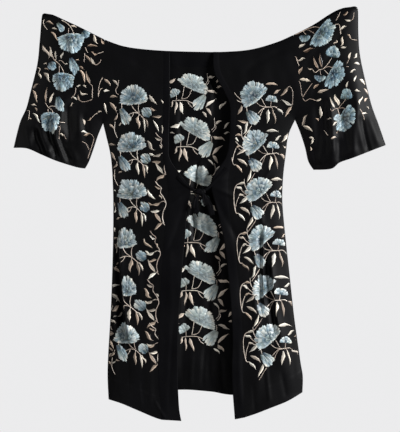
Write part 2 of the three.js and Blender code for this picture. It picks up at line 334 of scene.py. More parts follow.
def fold_rows(*rows: Sequence[float]) -> tuple[Fold, ...]:
    """Folds from rows of start x and z, end x and z, width, rise and, if any, bow and edge."""
    return tuple(Fold(row[:2], row[2:4], *row[4:]) for row in rows)


FRONT_FOLDS = fold_rows(
    (-256, -650, -216, -1000, 13, -9), (-200, -700, -186, -1120, 20, 6),
    (-252, -860, -248, -1140, 12, 7), (200, -640, 206, -900, 13, -9),
    (232, -700, 252, -1110, 20, 7), (168, -760, 176, -1180, 18, 5),
    (-150, -900, -146, -1190, 12, 4), (-200, -150, -70, -500, 24, 3), (190, -140, 80, -480, 24, 3),
    (-400, -240, -448, -440, 15, 7), (-368, -200, -386, -452, 14, -4.5),
    (-470, -300, -500, -400, 12, -5), (386, -240, 404, -450, 13, 9),
    (420, -260, 452, -436, 12, -5.5), (468, -220, 492, -420, 13, 8),
    (350, -250, 364, -458, 12, -4.5),
)
BACK_FOLDS = fold_rows(
    (-10, -430, -16, -660, 12, 6), (40, -760, 30, -1130, 16, 6), (-60, -800, -72, -1120, 14, -5),
    (-190, -500, -200, -1130, 22, 6), (190, -520, 214, -1130, 22, 6),
    (130, -600, 140, -1000, 16, -5), (-130, -560, -136, -980, 16, -5),
    (-420, -220, -450, -430, 16, 6), (424, -230, 450, -430, 16, 6),
    (-370, -260, -384, -450, 13, -5), (376, -260, 388, -450, 13, -5),
)

# The smaller creases, listed one by one: tension lines from the hanging places, soft dents at the
# tie, flutes above the hems.
FRONT_CREASES = fold_rows(
    (-300, -78, -96, -140, 7, 2.4, -8, 0.6), (-270, -92, -110, -122, 5, 1.8, -4, 0.6),
    (-330, -80, -120, -190, 10, -1.8, -12), (300, -66, 70, -140, 7, 2.4, 10, 0.6),
    (272, -80, 84, -122, 5, 1.8, 5, 0.6), (336, -74, 120, -186, 10, -1.8, 12),
    (-420, -40, -300, -170, 8, 1.8, -10), (430, -20, 300, -160, 8, 1.8, 10),
    (-446, -30, -330, -300, 9, -1.8, -14), (452, -12, 330, -290, 9, -1.8, 14),
    (-240, -300, -110, -430, 10, -2.2, 8), (238, -300, 120, -430, 10, -2.2, -8),
    (-270, -350, -176, -520, 8, 2.2, 10, 0.7), (262, -350, 176, -520, 8, 2.2, -10, 0.7),
    (-30, -534, -170, -640, 8, 2.4, 6, 0.7), (-30, -520, -180, -560, 7, -1.8, 4),
    (-34, -548, -120, -760, 9, -2, -8), (40, -520, 170, -590, 8, 2.2, -6, 0.7),
    (44, -530, 150, -720, 9, -2, 8), (44, -500, 150, -470, 7, 1.6, 5),
    (-242, -560, -222, -860, 7, 2.6, 5, 0.6), (-226, -700, -196, -1060, 6, -3.2, -6),
    (-172, -600, -166, -930, 9, 1.8, 8), (-92, -640, -96, -1140, 10, 1.6, -8),
    (-74, -900, -86, -1200, 7, -1.6, 5), (-212, -1010, -206, -1150, 6, -2.8, 0, 0.7),
    (-236, -1040, -236, -1150, 5, 2.2), (-180, -1090, -172, -1180, 6, 2.2, 0, 0.6),
    (-134, -1150, -96, -1212, 5, 2.2, 3, 0.6), (182, -560, 188, -820, 7, 2.6, -6, 0.6),
    (222, -780, 232, -1040, 7, -3, 5), (150, -640, 146, -900, 8, -1.8, -6),
    (266, -880, 286, -1120, 9, -2.6, -5), (120, -960, 128, -1190, 7, 1.8, 4),
    (198, -1040, 210, -1170, 6, 2.8, 0, 0.6), (244, -1060, 262, -1150, 6, -2.4),
    (160, -1100, 168, -1190, 5, -2),
    # Folds deep enough to swallow part of the flowers.
    (-219, -1030, -252, -620, 15, -20, 4, 0.8), (-232, -610, -198, -1020, 11, 18, 4, 0.75),
    (-262, -790, -252, -1000, 8, 4), (184, -910, 188, -616, 10, -13, -3, 0.8),
    (201, -616, 201, -900, 8, 9, 2, 0.8), (232, -980, 207, -690, 10, -12, -2, 0.8),
    (221, -690, 248, -980, 8, 8, 2, 0.8),
    # The left sleeve: slanting flutes, and one deep hollow towards the body.
    (-417, -446, -456, -300, 10, -11, -4, 0.7), (-438, -306, -399, -450, 10, 8, 3),
    (-375, -458, -424, -344, 8, -9, -5, 0.75), (-406, -330, -356, -460, 10, 4, 4),
    (-486, -316, -441, -434, 9, 8, 4, 0.8), (-497, -336, -462, -424, 7, -8, 3, 0.8),
    (-522, -330, -500, -408, 8, 6, 2), (-392, -404, -396, -262, 12, -9, 3, 0.8),
    (-376, -256, -358, -372, 13, 4, -4), (-344, -290, -322, -436, 9, -7, 4),
    (-336, -340, -330, -450, 8, 4), (-394, -52, -376, -128, 10, 6, 0, 0.6),
    (-424, -172, -408, -240, 10, 6, 0, 0.6),
    # The right sleeve: broader flutes that spread towards the cuff.
    (448, -110, 534, -400, 40, 13), (404, -350, 392, -460, 16, 5, 3),
    (419, -452, 416, -366, 11, -4, 2), (458, -446, 470, -266, 23, 13, -3, 0.7),
    (512, -420, 484, -296, 10, -8, -4, 0.6), (506, -300, 540, -402, 10, 7, -3),
    (372, -362, 364, -458, 8, 5, 2), (340, -396, 354, -462, 7, -6),
    (380, -250, 384, -376, 12, -5, 6),
)
BACK_CREASES = fold_rows(
    (-260, -88, -60, -170, 8, 1.8, -10), (260, -76, 60, -170, 8, 1.8, 10),
    (-200, -110, 150, -122, 6, 1.4, 8), (-2, -430, -8, -556, 8, 9, 2, 0.7),
    (14, -440, 18, -540, 7, -4, 3), (-20, -580, -16, -690, 8, 8, -2, 0.7),
    (8, -600, 10, -720, 8, 4), (-48, -250, -52, -380, 9, 4, 4), (30, -180, 26, -330, 10, -4, -4),
    (-30, -700, -36, -960, 8, 2.2, 6), (62, -620, 58, -860, 8, 2, -6),
    (20, -980, 10, -1128, 6, 2.8, 3, 0.6), (-20, -1010, -26, -1126, 5, -2.2),
    (66, -1020, 72, -1136, 6, 2.2, 0, 0.7), (-110, -700, -104, -1128, 9, 2.6, 8, 0.7),
    (-224, -640, -236, -1100, 8, 2.4, -8, 0.7), (156, -700, 168, -1130, 9, 2.6, -8, 0.7),
    (240, -640, 268, -1100, 8, 2.4, 8, 0.7), (-250, -340, -150, -520, 9, 2, 10),
    (250, -340, 150, -520, 9, 2, -10), (-480, -300, -500, -404, 6, 2.6, 0, 0.7),
    (-400, -280, -410, -446, 6, 2.4, 4), (480, -290, 500, -404, 6, 2.6, 0, 0.7),
    (400, -280, 410, -446, 6, 2.4, -4),
)


@dataclass(frozen=True)
class Lap:
    """A fold so deep that the cloth beside it rolls sideways over it.

    The line from start to end is the fold's lip; reach is how far the lip moves along x.
    """

    start: Point
    end: Point
    reach: float
    near: float = 10.0  # mm over which the cloth under the lip is drawn together
    far: float = 34.0  # mm over which the cloth beyond the lip eases

    FADE = 0.3  # share of the line over which the roll dies away at each end

    def shift(self, points: Points) -> Points:
        """How far each plan point moves along x."""
        (ax, az), (bx, bz) = self.start, self.end
        along = np.clip((points[:, 1] - az) / (bz - az), 0, 1)
        away = (points[:, 0] - mix(ax, bx, along)) * np.sign(-self.reach)
        width = np.where(away > 0, self.far, self.near)
        fade = smooth(along / self.FADE) * smooth((1 - along) / self.FADE)
        return self.reach * fade * np.exp(-((away / width) ** 2))


LAPS = (
    Lap((-232, -610), (-197, -1020), -12), Lap((203, -600), (203, -920), -8, 9, 24),
    Lap((224, -680), (250, -990), -8, 9, 24),
)


@dataclass(frozen=True)
class Ripple:
    """A faint unevenness of hung silk: a wave across the plan, its angle and phase in radians."""

    length: float
    angle: float
    phase: float
    rise: float

    def height(self, points: Points) -> Points:
        """How far the wave lifts the cloth at each plan point."""
        way = np.array([math.cos(self.angle), math.sin(self.angle)])
        return self.rise * np.sin(points @ way * (2 * math.pi / self.length) + self.phase)


RIPPLES = (
    Ripple(83, 0.10, 0.4, 0.50), Ripple(57, -0.22, 2.1, 0.35), Ripple(131, 0.9, 1.2, 0.5),
    Ripple(37, 0.32, 4.0, 0.16), Ripple(211, -0.5, 0.0, 0.7),
)


@dataclass(frozen=True)
class Layer:
    """One of the two layers of the hung jacket, off the seam plane on its own side."""

    side: int  # -1 towards the front, 1 towards the back
    at_top: float  # mm that it stands off at the shoulders
    at_hem: float  # and at the hem
    folds: tuple[Fold, ...]
    laps: tuple[Lap, ...] = ()

    def sideways(self, points: Points) -> Points:
        """How far each plan point is drawn along x by the layer's laps."""
        return sum((lap.shift(points) for lap in self.laps), np.zeros(len(points)))

    def stand_off(self, points: Points, edge: Points) -> Points:
        """How far the layer's inner face stands off the seam plane, edge mm from a closed edge."""
        hollow = mix(self.at_top, self.at_hem, smooth(points[:, 1] / HEM_LEVEL))
        lift = sum(fold.height(points) for fold in self.folds)
        lift = lift + sum(ripple.height(points) for ripple in RIPPLES)
        rounded = 1 - np.exp(-edge / ROUNDING)
        return SEAM / 2 + np.maximum(0, rounded * (hollow + lift))


FRONT = Layer(-1, 14, 28, FRONT_FOLDS + FRONT_CREASES, LAPS)
BACK = Layer(1, 4, 6, BACK_FOLDS + BACK_CREASES)


def over_the_edge(x: Points, y: Points, z: Points) -> Points:
    """Bends what lies above a hanging place back over its edge.

    Args:
        x: places across.
        y: places from front to back.
        z: heights, measured along the cloth.

    Returns:
        The points in space, in millimetres.
    """
    level = np.where(x < 0, HANG_LEVEL[L], HANG_LEVEL[R])
    above = np.maximum(z - level, 0)
    angle, radius = above / HANG_RADIUS, HANG_RADIUS - y
    bent = np.stack([x, HANG_RADIUS - radius * np.cos(angle), level + radius * np.sin(angle)], 1)
    return np.where((above > 0)[:, None], bent, np.stack([x, y, z], 1))


def in_space(points: Points, layer: Layer, height: Points | float, closing: float) -> Points:
    """Plan points on a layer as points in space, in metres.

    Args:
        points: plan points, in millimetres.
        layer: the layer they lie on.
        height: how far outside the layer's inner face each lies.
        closing: within this distance of a closed edge the layer comes in to the seam plane,
            as a tube's fold does; 0 keeps it clear of the plane, as at a seam.

    Returns:
        The points in space.
    """
    edge = to_closed_edge(points)
    off = layer.stand_off(points, edge) + height
    if closing:
        off = off * np.sqrt(1 - np.exp(-edge / closing))
        off = np.maximum(off, 0 if closing > SEWN else SILK / 2)
    y = layer.side * off
    return over_the_edge(points[:, 0] + layer.sideways(points), y, points[:, 1]) * MM


# ---- Mesh helpers ----------------------------------------


def as_mesh(bm: bmesh.types.BMesh, name: str) -> Mesh:
    """Turns a bmesh into a mesh of its own."""
    mesh = bpy.data.meshes.new(name)
    bm.to_mesh(mesh)
    bm.free()
    return mesh


@contextmanager
def editing(mesh: Mesh) -> Iterator[bmesh.types.BMesh]:
    """The mesh as a bmesh, which goes back into it at the end."""
    bm = bmesh.new()
    bm.from_mesh(mesh)
    yield bm
    bm.to_mesh(mesh)
    bm.free()


def coordinates(mesh: Mesh) -> Points:
    """The mesh's vertices as an array."""
    flat = np.empty(3 * len(mesh.vertices))
    mesh.vertices.foreach_get("co", flat)
    return flat.reshape(-1, 3)


def set_coordinates(mesh: Mesh, points: Points) -> None:
    """Moves the mesh's vertices to points."""
    mesh.vertices.foreach_set("co", points.astype(float).ravel())
    mesh.update()


def set_uv(mesh: Mesh, points: Points, name: str = "plan") -> None:
    """Gives the mesh a UV map that holds a point, taken from mm to metres, for each vertex."""
    corner = np.empty(len(mesh.loops), int)
    mesh.loops.foreach_get("vertex_index", corner)
    layer = mesh.uv_layers.new(name=name)
    layer.data.foreach_set("uv", (points[corner] * MM).ravel())


def shade_smooth(mesh: Mesh) -> None:
    """Shades every face of the mesh smooth."""
    mesh.polygons.foreach_set("use_smooth", np.ones(len(mesh.polygons), bool))


def add_object(name: str, mesh: Mesh, material: Material) -> Object:
    """Puts a finished mesh in the scene under a name, with its material."""
    piece = bpy.data.objects.new(name, mesh)
    bpy.context.scene.collection.objects.link(piece)
    mesh.materials.append(material)
    return piece


def dress(piece: Object, slot: str, *nodes: str) -> None:
    """Sets a piece on the jacket's one body and hides the solids it stands for."""
    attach(piece, "root")
    if nodes:
        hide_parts(*nodes)


def solidify(piece: Object, wall: float) -> None:
    """Gives a sheet its wall, half to each side, with a crisp cut edge."""
    with editing(piece.data) as bm:
        for edge in bm.edges:
            edge.smooth = not edge.is_boundary
    shell = piece.modifiers.new("wall", "SOLIDIFY")
    shell.thickness = wall * MM
    shell.offset = 0.0
    shell.use_even_offset = False


def share_grid(across: int, down: int) -> Mesh:
    """A grid mesh whose x and y run from 0 to 1, x across and y down."""
    bm = bmesh.new()
    bmesh.ops.create_grid(bm, x_segments=across, y_segments=down, size=0.5)
    bmesh.ops.translate(bm, verts=bm.verts, vec=(0.5, 0.5, 0))
    return as_mesh(bm, "grid")


# ---- Materials -------------------------------------------


def linear(colour: str) -> tuple[float, float, float, float]:
    """An sRGB hex colour as linear RGBA."""
    channels = (int(colour[k:k + 2], 16) / 255 for k in (1, 3, 5))
    return (*(c / 12.92 if c <= 0.04045 else ((c + 0.055) / 1.055) ** 2.4 for c in channels), 1.0)


def add_node(tree: NodeTree, kind: str, settings: dict | None = None,
             **links: NodeSocket) -> Node:
    """Adds a node.

    Args:
        tree: the material's node tree.
        kind: the node's type name, after ShaderNode.
        settings: attributes by name, and socket values under the key "in".
        links: the sockets that feed it, by input name with _ for a space, or by number after i.

    Returns:
        The node.
    """
    node = tree.nodes.new(f"ShaderNode{kind}")
    for name, value in (settings or {}).items():
        if name == "in":
            for socket, number in value.items():
                node.inputs[socket].default_value = number
        else:
            setattr(node, name, value)
    for name, socket in links.items():
        target = int(name[1:]) if name[0] == "i" and name[1:].isdigit() else name.replace("_", " ")
        tree.links.new(socket, node.inputs[target])
    return node


class Finish:
    """A finish, as a material of the same name; each kind of finish gives its own shader."""

    name: str

    def shader(self, tree: NodeTree) -> Node:
        """Adds the finish's nodes to a tree and returns its shader."""
        raise NotImplementedError

    def build(self) -> Material:
        """Makes the material.

        Returns:
            The material, with the shader at its output.
        """
        material = bpy.data.materials.new(self.name)
        material.use_nodes = True
        tree = material.node_tree
        tree.nodes.clear()
        shader = self.shader(tree)
        output = tree.nodes.new("ShaderNodeOutputMaterial")
        tree.links.new(shader.outputs[0], output.inputs["Surface"])
        return material


@dataclass(frozen=True)
class CrepeSilk(Finish):
    """Crepe de chine: silk woven of hard-twisted yarn, so its face is finely pebbled and takes
    a soft, broad highlight along a fold rather than a mirror one."""

    name: str
    dark: str
    light: str
    roughness: float
    yarn: float = 1.3  # mm; the real yarn is 0.15 mm, drawn coarse so that it shows
    relief: float = 0.10  # mm
    sheen: float = 0.006
    shine: float = 0.07

    CLOUDS = 9.0  # clouds of the dye to a metre
    CLOSER = 1.6  # how much closer the yarns lie down the cloth than across it
    POLISH = (-0.05, 0.06)  # roughness between the pebbles and on them, against the middle

    def shader(self, tree: NodeTree) -> Node:
        """Adds the finish's nodes to a tree and returns its shader."""
        plan = add_node(tree, "UVMap", {"uv_map": "plan"})
        cloudy = add_node(
            tree, "TexNoise", {"in": {"Scale": self.CLOUDS, "Detail": 4.0}},
            Vector=plan.outputs["UV"])
        tone = add_node(tree, "ValToRGB", Fac=cloudy.outputs["Fac"])
        tone.color_ramp.elements[0].position = 0.35
        tone.color_ramp.elements[0].color = linear(self.dark)
        tone.color_ramp.elements[1].position = 0.7
        tone.color_ramp.elements[1].color = linear(self.light)
        squeezed = add_node(
            tree, "Mapping", {"in": {"Scale": (1.0, self.CLOSER, 1.0)}},
            Vector=plan.outputs["UV"])
        pebble = add_node(
            tree, "TexNoise",
            {"in": {"Scale": 1 / (self.yarn * MM), "Detail": 2.0, "Roughness": 0.6}},
            Vector=squeezed.outputs["Vector"])
        bump = add_node(
            tree, "Bump", {"in": {"Strength": 0.5, "Distance": self.relief * MM}},
            Height=pebble.outputs["Fac"])
        gloss = add_node(
            tree, "MapRange",
            {"in": {"To Min": self.roughness + self.POLISH[0],
                    "To Max": self.roughness + self.POLISH[1]}},
            Value=pebble.outputs["Fac"])
        return add_node(
            tree, "BsdfPrincipled",
            {"in": {"IOR": 1.54, "Sheen Weight": self.sheen, "Sheen Roughness": 0.45,
                    "Sheen Tint": linear("#9a9fb0"), "Specular IOR Level": self.shine}},
            Base_Color=tone.outputs["Color"], Roughness=gloss.outputs["Result"],
            Normal=bump.outputs["Normal"])


@dataclass(frozen=True)
class FlossSilk(Finish):
    """Embroidery floss: untwisted silk in satin stitch. Side-by-side threads catch the light as
    fine streaks, painted into the colour: each strand is darker or lighter at random, partly
    random tone and partly painted sheen, over a bump of the same pattern. The tint of each stitch
    comes with the mesh."""

    name: str = "silk_floss"
    roughness: float = 0.42
    thread: float = 1.0  # mm; the real thread is 0.4 mm, drawn coarse so that it shows
    relief: float = 0.25  # mm

    ALONG = 0.09  # how slowly the pattern changes along a thread, which runs along V
    STRAND_TONE_AND_SHEEN = (0.74, 1.16)  # how dark and how light a strand gets: random tone and painted sheen

    def shader(self, tree: NodeTree) -> Node:
        """Adds the finish's nodes to a tree and returns its shader."""
        tint = add_node(tree, "Attribute", {"attribute_name": "tint"})
        run = add_node(tree, "UVMap", {"uv_map": "thread"})
        combed = add_node(
            tree, "Mapping", {"in": {"Scale": (1.0, self.ALONG, 1.0)}},
            Vector=run.outputs["UV"])
        strand = add_node(
            tree, "TexNoise",
            {"in": {"Scale": 1 / (self.thread * MM), "Detail": 2.0, "Roughness": 0.55}},
            Vector=combed.outputs["Vector"])
        # Painted sheen and random tone: the colour of each strand is scaled darker or lighter.
        shade = add_node(
            tree, "MapRange",
            {"in": {"From Min": 0.3, "From Max": 0.7,
                    "To Min": self.STRAND_TONE_AND_SHEEN[0], "To Max": self.STRAND_TONE_AND_SHEEN[1]}},
            Value=strand.outputs["Fac"])
        colour = add_node(
            tree, "VectorMath", {"operation": "SCALE"},
            i0=tint.outputs["Color"], Scale=shade.outputs["Result"])
        bump = add_node(
            tree, "Bump", {"in": {"Strength": 0.6, "Distance": self.relief * MM}},
            Height=strand.outputs["Fac"])
        return add_node(
            tree, "BsdfPrincipled",
            {"in": {"Roughness": self.roughness, "IOR": 1.54, "Specular IOR Level": 0.5,
                    "Sheen Weight": 0.08}},
            Base_Color=colour.outputs["Vector"], Normal=bump.outputs["Normal"])


@dataclass(frozen=True)
class Paint(Finish):
    """Matt emulsion on a studio floor: even, pale and without a highlight."""

    name: str = "floor_paint"
    colour: str = "#a9a8a6"

    def shader(self, tree: NodeTree) -> Node:
        """Adds the finish's nodes to a tree and returns its shader."""
        place = add_node(tree, "TexCoord")
        grain = add_node(
            tree, "TexNoise", {"in": {"Scale": 40.0}}, Vector=place.outputs["Object"])
        bump = add_node(
            tree, "Bump", {"in": {"Strength": 0.05, "Distance": 0.001}},
            Height=grain.outputs["Fac"])
        return add_node(
            tree, "BsdfPrincipled",
            {"in": {"Base Color": linear(self.colour), "Roughness": 0.85}},
            Normal=bump.outputs["Normal"])


# ---- Cloth panels ----------------------------------------


@dataclass
class Panel:
    """One flat-cut panel of the jacket, hung in its place."""

    name: str
    flat: Callable
    layer: Layer
    nodes: tuple[str, ...]
    material: Material
    step: float = 3.4
    wall: float = CLOTH
    closing: float = SEWN
    hem_line: float = 2.0  # share of the way down where the turned hem begins; 2 has none

    HEM_RISE = 0.7  # mm that the turned hem stands proud
    HEM_EASE = 1.5  # rows of the mesh over which it does
    LEAST_ACROSS = 4  # faces across the narrowest panel
    OUTLINE_STOPS = 120  # to each side of the outline

    def outline(self) -> Points:
        """The panel's outline in the plan."""
        t = np.linspace(0, 1, self.OUTLINE_STOPS)
        zero, one = np.zeros_like(t), np.ones_like(t)
        sides = [(t, zero), (one, t), (t[::-1], one), (zero, t[::-1])]
        return np.concatenate([self.flat(u, v) for u, v in sides])

    def mesh(self, layer: Layer) -> Mesh:
        """A fine sheet of the panel.

        Args:
            layer: the layer that it lies on.

        Returns:
            The mesh, with its plan as its UV map.
        """
        u, v = np.array([[0.0, 0.5], [1.0, 0.5], [0.0, 0.0], [0.5, 1.0]]).T
        left, right, top, hem = self.flat(u, v)
        across = max(self.LEAST_ACROSS, round(float(np.hypot(*(right - left))) / self.step))
        down = round(float(np.hypot(*(hem - top))) / self.step)
        mesh = share_grid(across, down)
        u, v = self.shares(*coordinates(mesh)[:, :2].T)
        points = self.flat(u, v)
        hem_rise = self.HEM_RISE * smooth((v - self.hem_line) * down / self.HEM_EASE)
        height = self.height(u, v) + hem_rise
        set_coordinates(mesh, in_space(points, layer, height, self.closing))
        set_uv(mesh, points)
        with editing(mesh) as bm:
            face_out(bm, layer.side)
        return mesh

    def shares(self, u: Points, v: Points) -> tuple[Points, Points]:
        """Where the grid's lines run on the panel."""
        return u, v

    def height(self, u: Points, v: Points) -> Points:
        """How far the middle of the silk lies above the layer's inner face."""
        return np.full(len(u), self.wall / 2)

    def build(self) -> Object:
        """Makes the panel."""
        return self.finish(self.mesh(self.layer))

    def finish(self, mesh: Mesh) -> Object:
        """Puts the panel in the scene and hides the solids that it stands for.

        Args:
            mesh: the panel's sheet.

        Returns:
            The finished piece.
        """
        shade_smooth(mesh)
        piece = add_object(self.name, mesh, self.material)
        solidify(piece, SILK)
        dress(piece, "black_silk", *self.nodes)
        log.info("%s: %d faces", self.name, len(mesh.polygons))
        return piece


def face_out(bm: bmesh.types.BMesh, side: int) -> None:
    """Turns the faces of an open sheet so that they look to its own side of the seam plane."""
    total = sum((face.normal * face.calc_area() for face in bm.faces), Vector())
    if total.y * side < 0:
        bmesh.ops.reverse_faces(bm, faces=bm.faces)


@dataclass
class BandPanel(Panel):
    """A band: silk folded double, so it stands proud of the panel and rounds over at its edge."""

    wall: float = BAND
    step: float = 2.4

    EASE = 0.6  # mm over which the free edge rolls under
    SEAM_EASE = 6.0  # mm over which the band rises from its seam
    AT_SEAM = 0.4  # share of its height that it has there

    def shares(self, u: Points, v: Points) -> tuple[Points, Points]:
        """Grid lines drawn together at both edges, where the band bends."""
        return 0.5 - 0.5 * np.cos(np.pi * u), v

    def height(self, u: Points, v: Points) -> Points:
        """Full in the middle, low at the seam and rolled under at the free edge."""
        zero, one = np.zeros_like(u), np.ones_like(u)
        breadth = np.linalg.norm(self.flat(one, v) - self.flat(zero, v), axis=1)
        seam = 1 - np.exp(-u * breadth / self.SEAM_EASE)
        free = np.sqrt(1 - np.exp(-(1 - u) * breadth / self.EASE))
        return SILK / 2 + (self.wall - SILK) * mix(self.AT_SEAM, 1, seam) * free


@dataclass
class Sleeve(Panel):
    """A sleeve: a front and a back wall that meet at the folds, so that it is one tube."""

    closing: float = 5.0

    RIM = 0.3  # mm off the seam plane within which a vertex belongs to a fold
    JOIN = 0.5  # mm between two of them that are made one

    def build(self) -> Object:
        """Makes the tube."""
        bm = bmesh.new()
        for layer in (FRONT, BACK):
            bm.from_mesh(self.mesh(layer))
        rim = [v for v in bm.verts if abs(v.co.y) < self.RIM * MM or v.is_boundary]
        bmesh.ops.remove_doubles(bm, verts=rim, dist=self.JOIN * MM)
        return self.finish(as_mesh(bm, self.name))


class Cutting:
    """Cuts the jacket's panels: where each lies in the plan."""

    ARMHOLE_SHARE = 7 / 30  # of a body panel's side
    NECK_SQUARE = 4  # power that makes the neckline's curve squarer than a round one

    @staticmethod
    def shoulder_at(x: Points) -> Points:
        """Height of the shoulder line at x."""
        path = Line(SHOULDER_LINE).path
        return np.interp(x, path[:, 0], path[:, 1])

    @classmethod
    def neck_dip(cls, x: Points) -> Points:
        """How far the seam behind the neck lies below the shoulder line."""
        middle, reach = (NECK_LEFT + NECK_RIGHT) / 2, (NECK_RIGHT - NECK_LEFT) / 2
        share = np.abs(x - middle) / reach
        dip = NECK_DEPTH * np.sqrt(np.clip(1 - share**cls.NECK_SQUARE, 0, None))
        return np.where(share > 1, 0, np.maximum(NECK_LEAST, dip))

    @classmethod
    def body_side(cls, side: Side) -> PlanLine:
        """Armhole and side seam, from the shoulder to the hem."""
        armhole = Line([ARMHOLE_TOP[side], UNDERARM[side]])
        return joined(armhole, Line(SIDE_SEAM[side]), cls.ARMHOLE_SHARE)

    @classmethod
    def back(cls) -> Callable:
        """The back, with its neckline cut out.

        Returns:
            The panel, as patch gives it.
        """

        def top(u: Points) -> Points:
            """Shoulders and neckline."""
            x = mix(ARMHOLE_TOP[L][0], ARMHOLE_TOP[R][0], np.asarray(u, float))
            dip = np.maximum(cls.neck_dip(x) - UNDERLAP, 0)
            return np.stack([x, cls.shoulder_at(x) - dip], -1)

        return patch(top, Line(BACK_HEM), cls.body_side(L), cls.body_side(R))

    @classmethod
    def front(cls, side: Side) -> Callable:
        """A front, from the armhole and side seam to the sewn edge of its band.

        Args:
            side: the front's side.

        Returns:
            The panel, as patch gives it.
        """
        start, end = ARMHOLE_TOP[side][0], BAND_SEAM[side][0][0] - side.sign * UNDERLAP

        def top(u: Points) -> Points:
            """The shoulder."""
            x = mix(start, end, np.asarray(u, float))
            return np.stack([x, cls.shoulder_at(x)], -1)

        seam = shifted(Line(BAND_SEAM[side]), -side.sign * UNDERLAP)
        return patch(top, Line(FRONT_HEM[side]), cls.body_side(side), seam)

    @staticmethod
    def band(side: Side) -> Callable:
        """The band of a front, from its seam to its free edge."""
        seam, free = Line(BAND_SEAM[side]), Line(BAND_FREE[side])
        return lambda u, v: mix(seam(v), free(v), u[..., None])

    @classmethod
    def neck(cls) -> Callable:
        """The band behind the neck."""

        def flat(u: Points, v: Points) -> Points:
            """The plan points at u and v."""
            x = mix(NECK_LEFT, NECK_RIGHT, u)
            return np.stack([x, cls.shoulder_at(x) - v * cls.neck_dip(x)], -1)

        return flat

    @staticmethod
    def sleeve(side: Side) -> Callable:
        """A sleeve laid flat, from the armhole to the cuff."""
        armhole = shifted(Line([ARMHOLE_TOP[side], UNDERARM[side]]), -side.sign * UNDERLAP / 2)
        top = joined(reversed_line(armhole), Line(SLEEVE_TOP[side]), 0.5)
        hem = reversed_line(Line(CUFF_HEM[side]))
        return patch(top, hem, Line(SLEEVE_INNER[side]), Line(SLEEVE_OUTER[side]))


# ---- Ties ------------------------------------------------


TIE_CLOTH = 2.4  # mm of room that a tie takes up
PLAIN_FRONT = replace(FRONT, folds=FRONT_FOLDS, laps=())  # the ties lie over the small creases


def on_band(x: float, z: float) -> Points:
    """The place in space, in millimetres, of a tie that lies on the bands."""
    point = np.array([[x, z]], float)
    off = PLAIN_FRONT.stand_off(point, to_closed_edge(point))[0]
    return np.array([x, -(off + BAND + 2 * SEAM + TIE_CLOTH / 2), z])


KNOT = on_band(4, -532)
KNOT_RADII = (17.0, 7.0, 9.0)


@dataclass
class Strip:
    """A narrow strip of silk that follows a line in space, in millimetres."""

    name: str
    node: str
    path: Sequence[Points]
    widths: Sequence[float]
    material: Material
    across: Sequence[float] | None = None  # fixed direction across a strip that turns over
    swell: float = 0.9
    frayed: bool = False

    STEP = 1.1  # mm to a row of the mesh
    COLUMNS, LEAST_ROWS = 10, 8
    AHEAD = 0.01  # share of the length over which the strip's way is read
    HOLLOW = 0.45  # share of the swell by which the strip's edges bend back
    GATHERS = ((0.32, 5.5, 3.2, 1.0), (0.2, 9, -7, 0))  # rise in mm, waves across and along, phase
    SWAY = (0.5, 9, 0.7)  # mm to each side, waves along, phase
    FRAY = ((1.6, 23), (0.9, 41))  # mm, waves across
    FRAYED_FROM = 0.97  # share of the length
    WALL = 0.8  # mm

    def build(self) -> Object:
        """Makes the strip.

        Returns:
            The piece, which stands for its solid.
        """
        line = Line(self.path)
        mesh = share_grid(self.COLUMNS, max(self.LEAST_ROWS, round(line.length / self.STEP)))
        u, v = coordinates(mesh)[:, :2].T
        ahead = line(np.minimum(v + self.AHEAD, 1)) - line(np.maximum(v - self.AHEAD, 0))
        ahead /= np.linalg.norm(ahead, axis=1)[:, None]
        if self.across is None:
            across = np.cross(ahead, (0.0, 1.0, 0.0))
            across /= np.linalg.norm(across, axis=1)[:, None]
        else:
            way = np.array(self.across, float)
            across = np.tile(way / np.linalg.norm(way), (len(u), 1))
        out = np.cross(across, ahead)
        if self.across is None:
            out *= np.where(out[:, 1] > 0, -1, 1)[:, None]
        side = 2 * u - 1
        width = np.interp(v, np.linspace(0, 1, len(self.widths)), self.widths)
        crease = self.swell * (np.cos(side * math.pi / 2) - self.HOLLOW)
        crease += sum(rise * np.sin(side * over + v * down + phase)
                      for rise, over, down, phase in self.GATHERS)
        swing, waves, phase = self.SWAY
        sway = swing * np.sin(v * waves + phase)
        place = line(v) + across * (side * width / 2 + sway)[:, None] + out * crease[:, None]
        if self.frayed:
            fray = sum(reach * np.sin(u * over) for reach, over in self.FRAY)
            place[:, 2] += np.where(v > self.FRAYED_FROM, fray, 0)
        set_coordinates(mesh, place * MM)
        set_uv(mesh, np.column_stack([u * width, v * line.length]))
        shade_smooth(mesh)
        piece = add_object(self.name, mesh, self.material)
        solidify(piece, self.WALL)
        dress(piece, "band_silk", self.node)
        log.info("%s: %.0f mm long", self.name, line.length)
        return piece


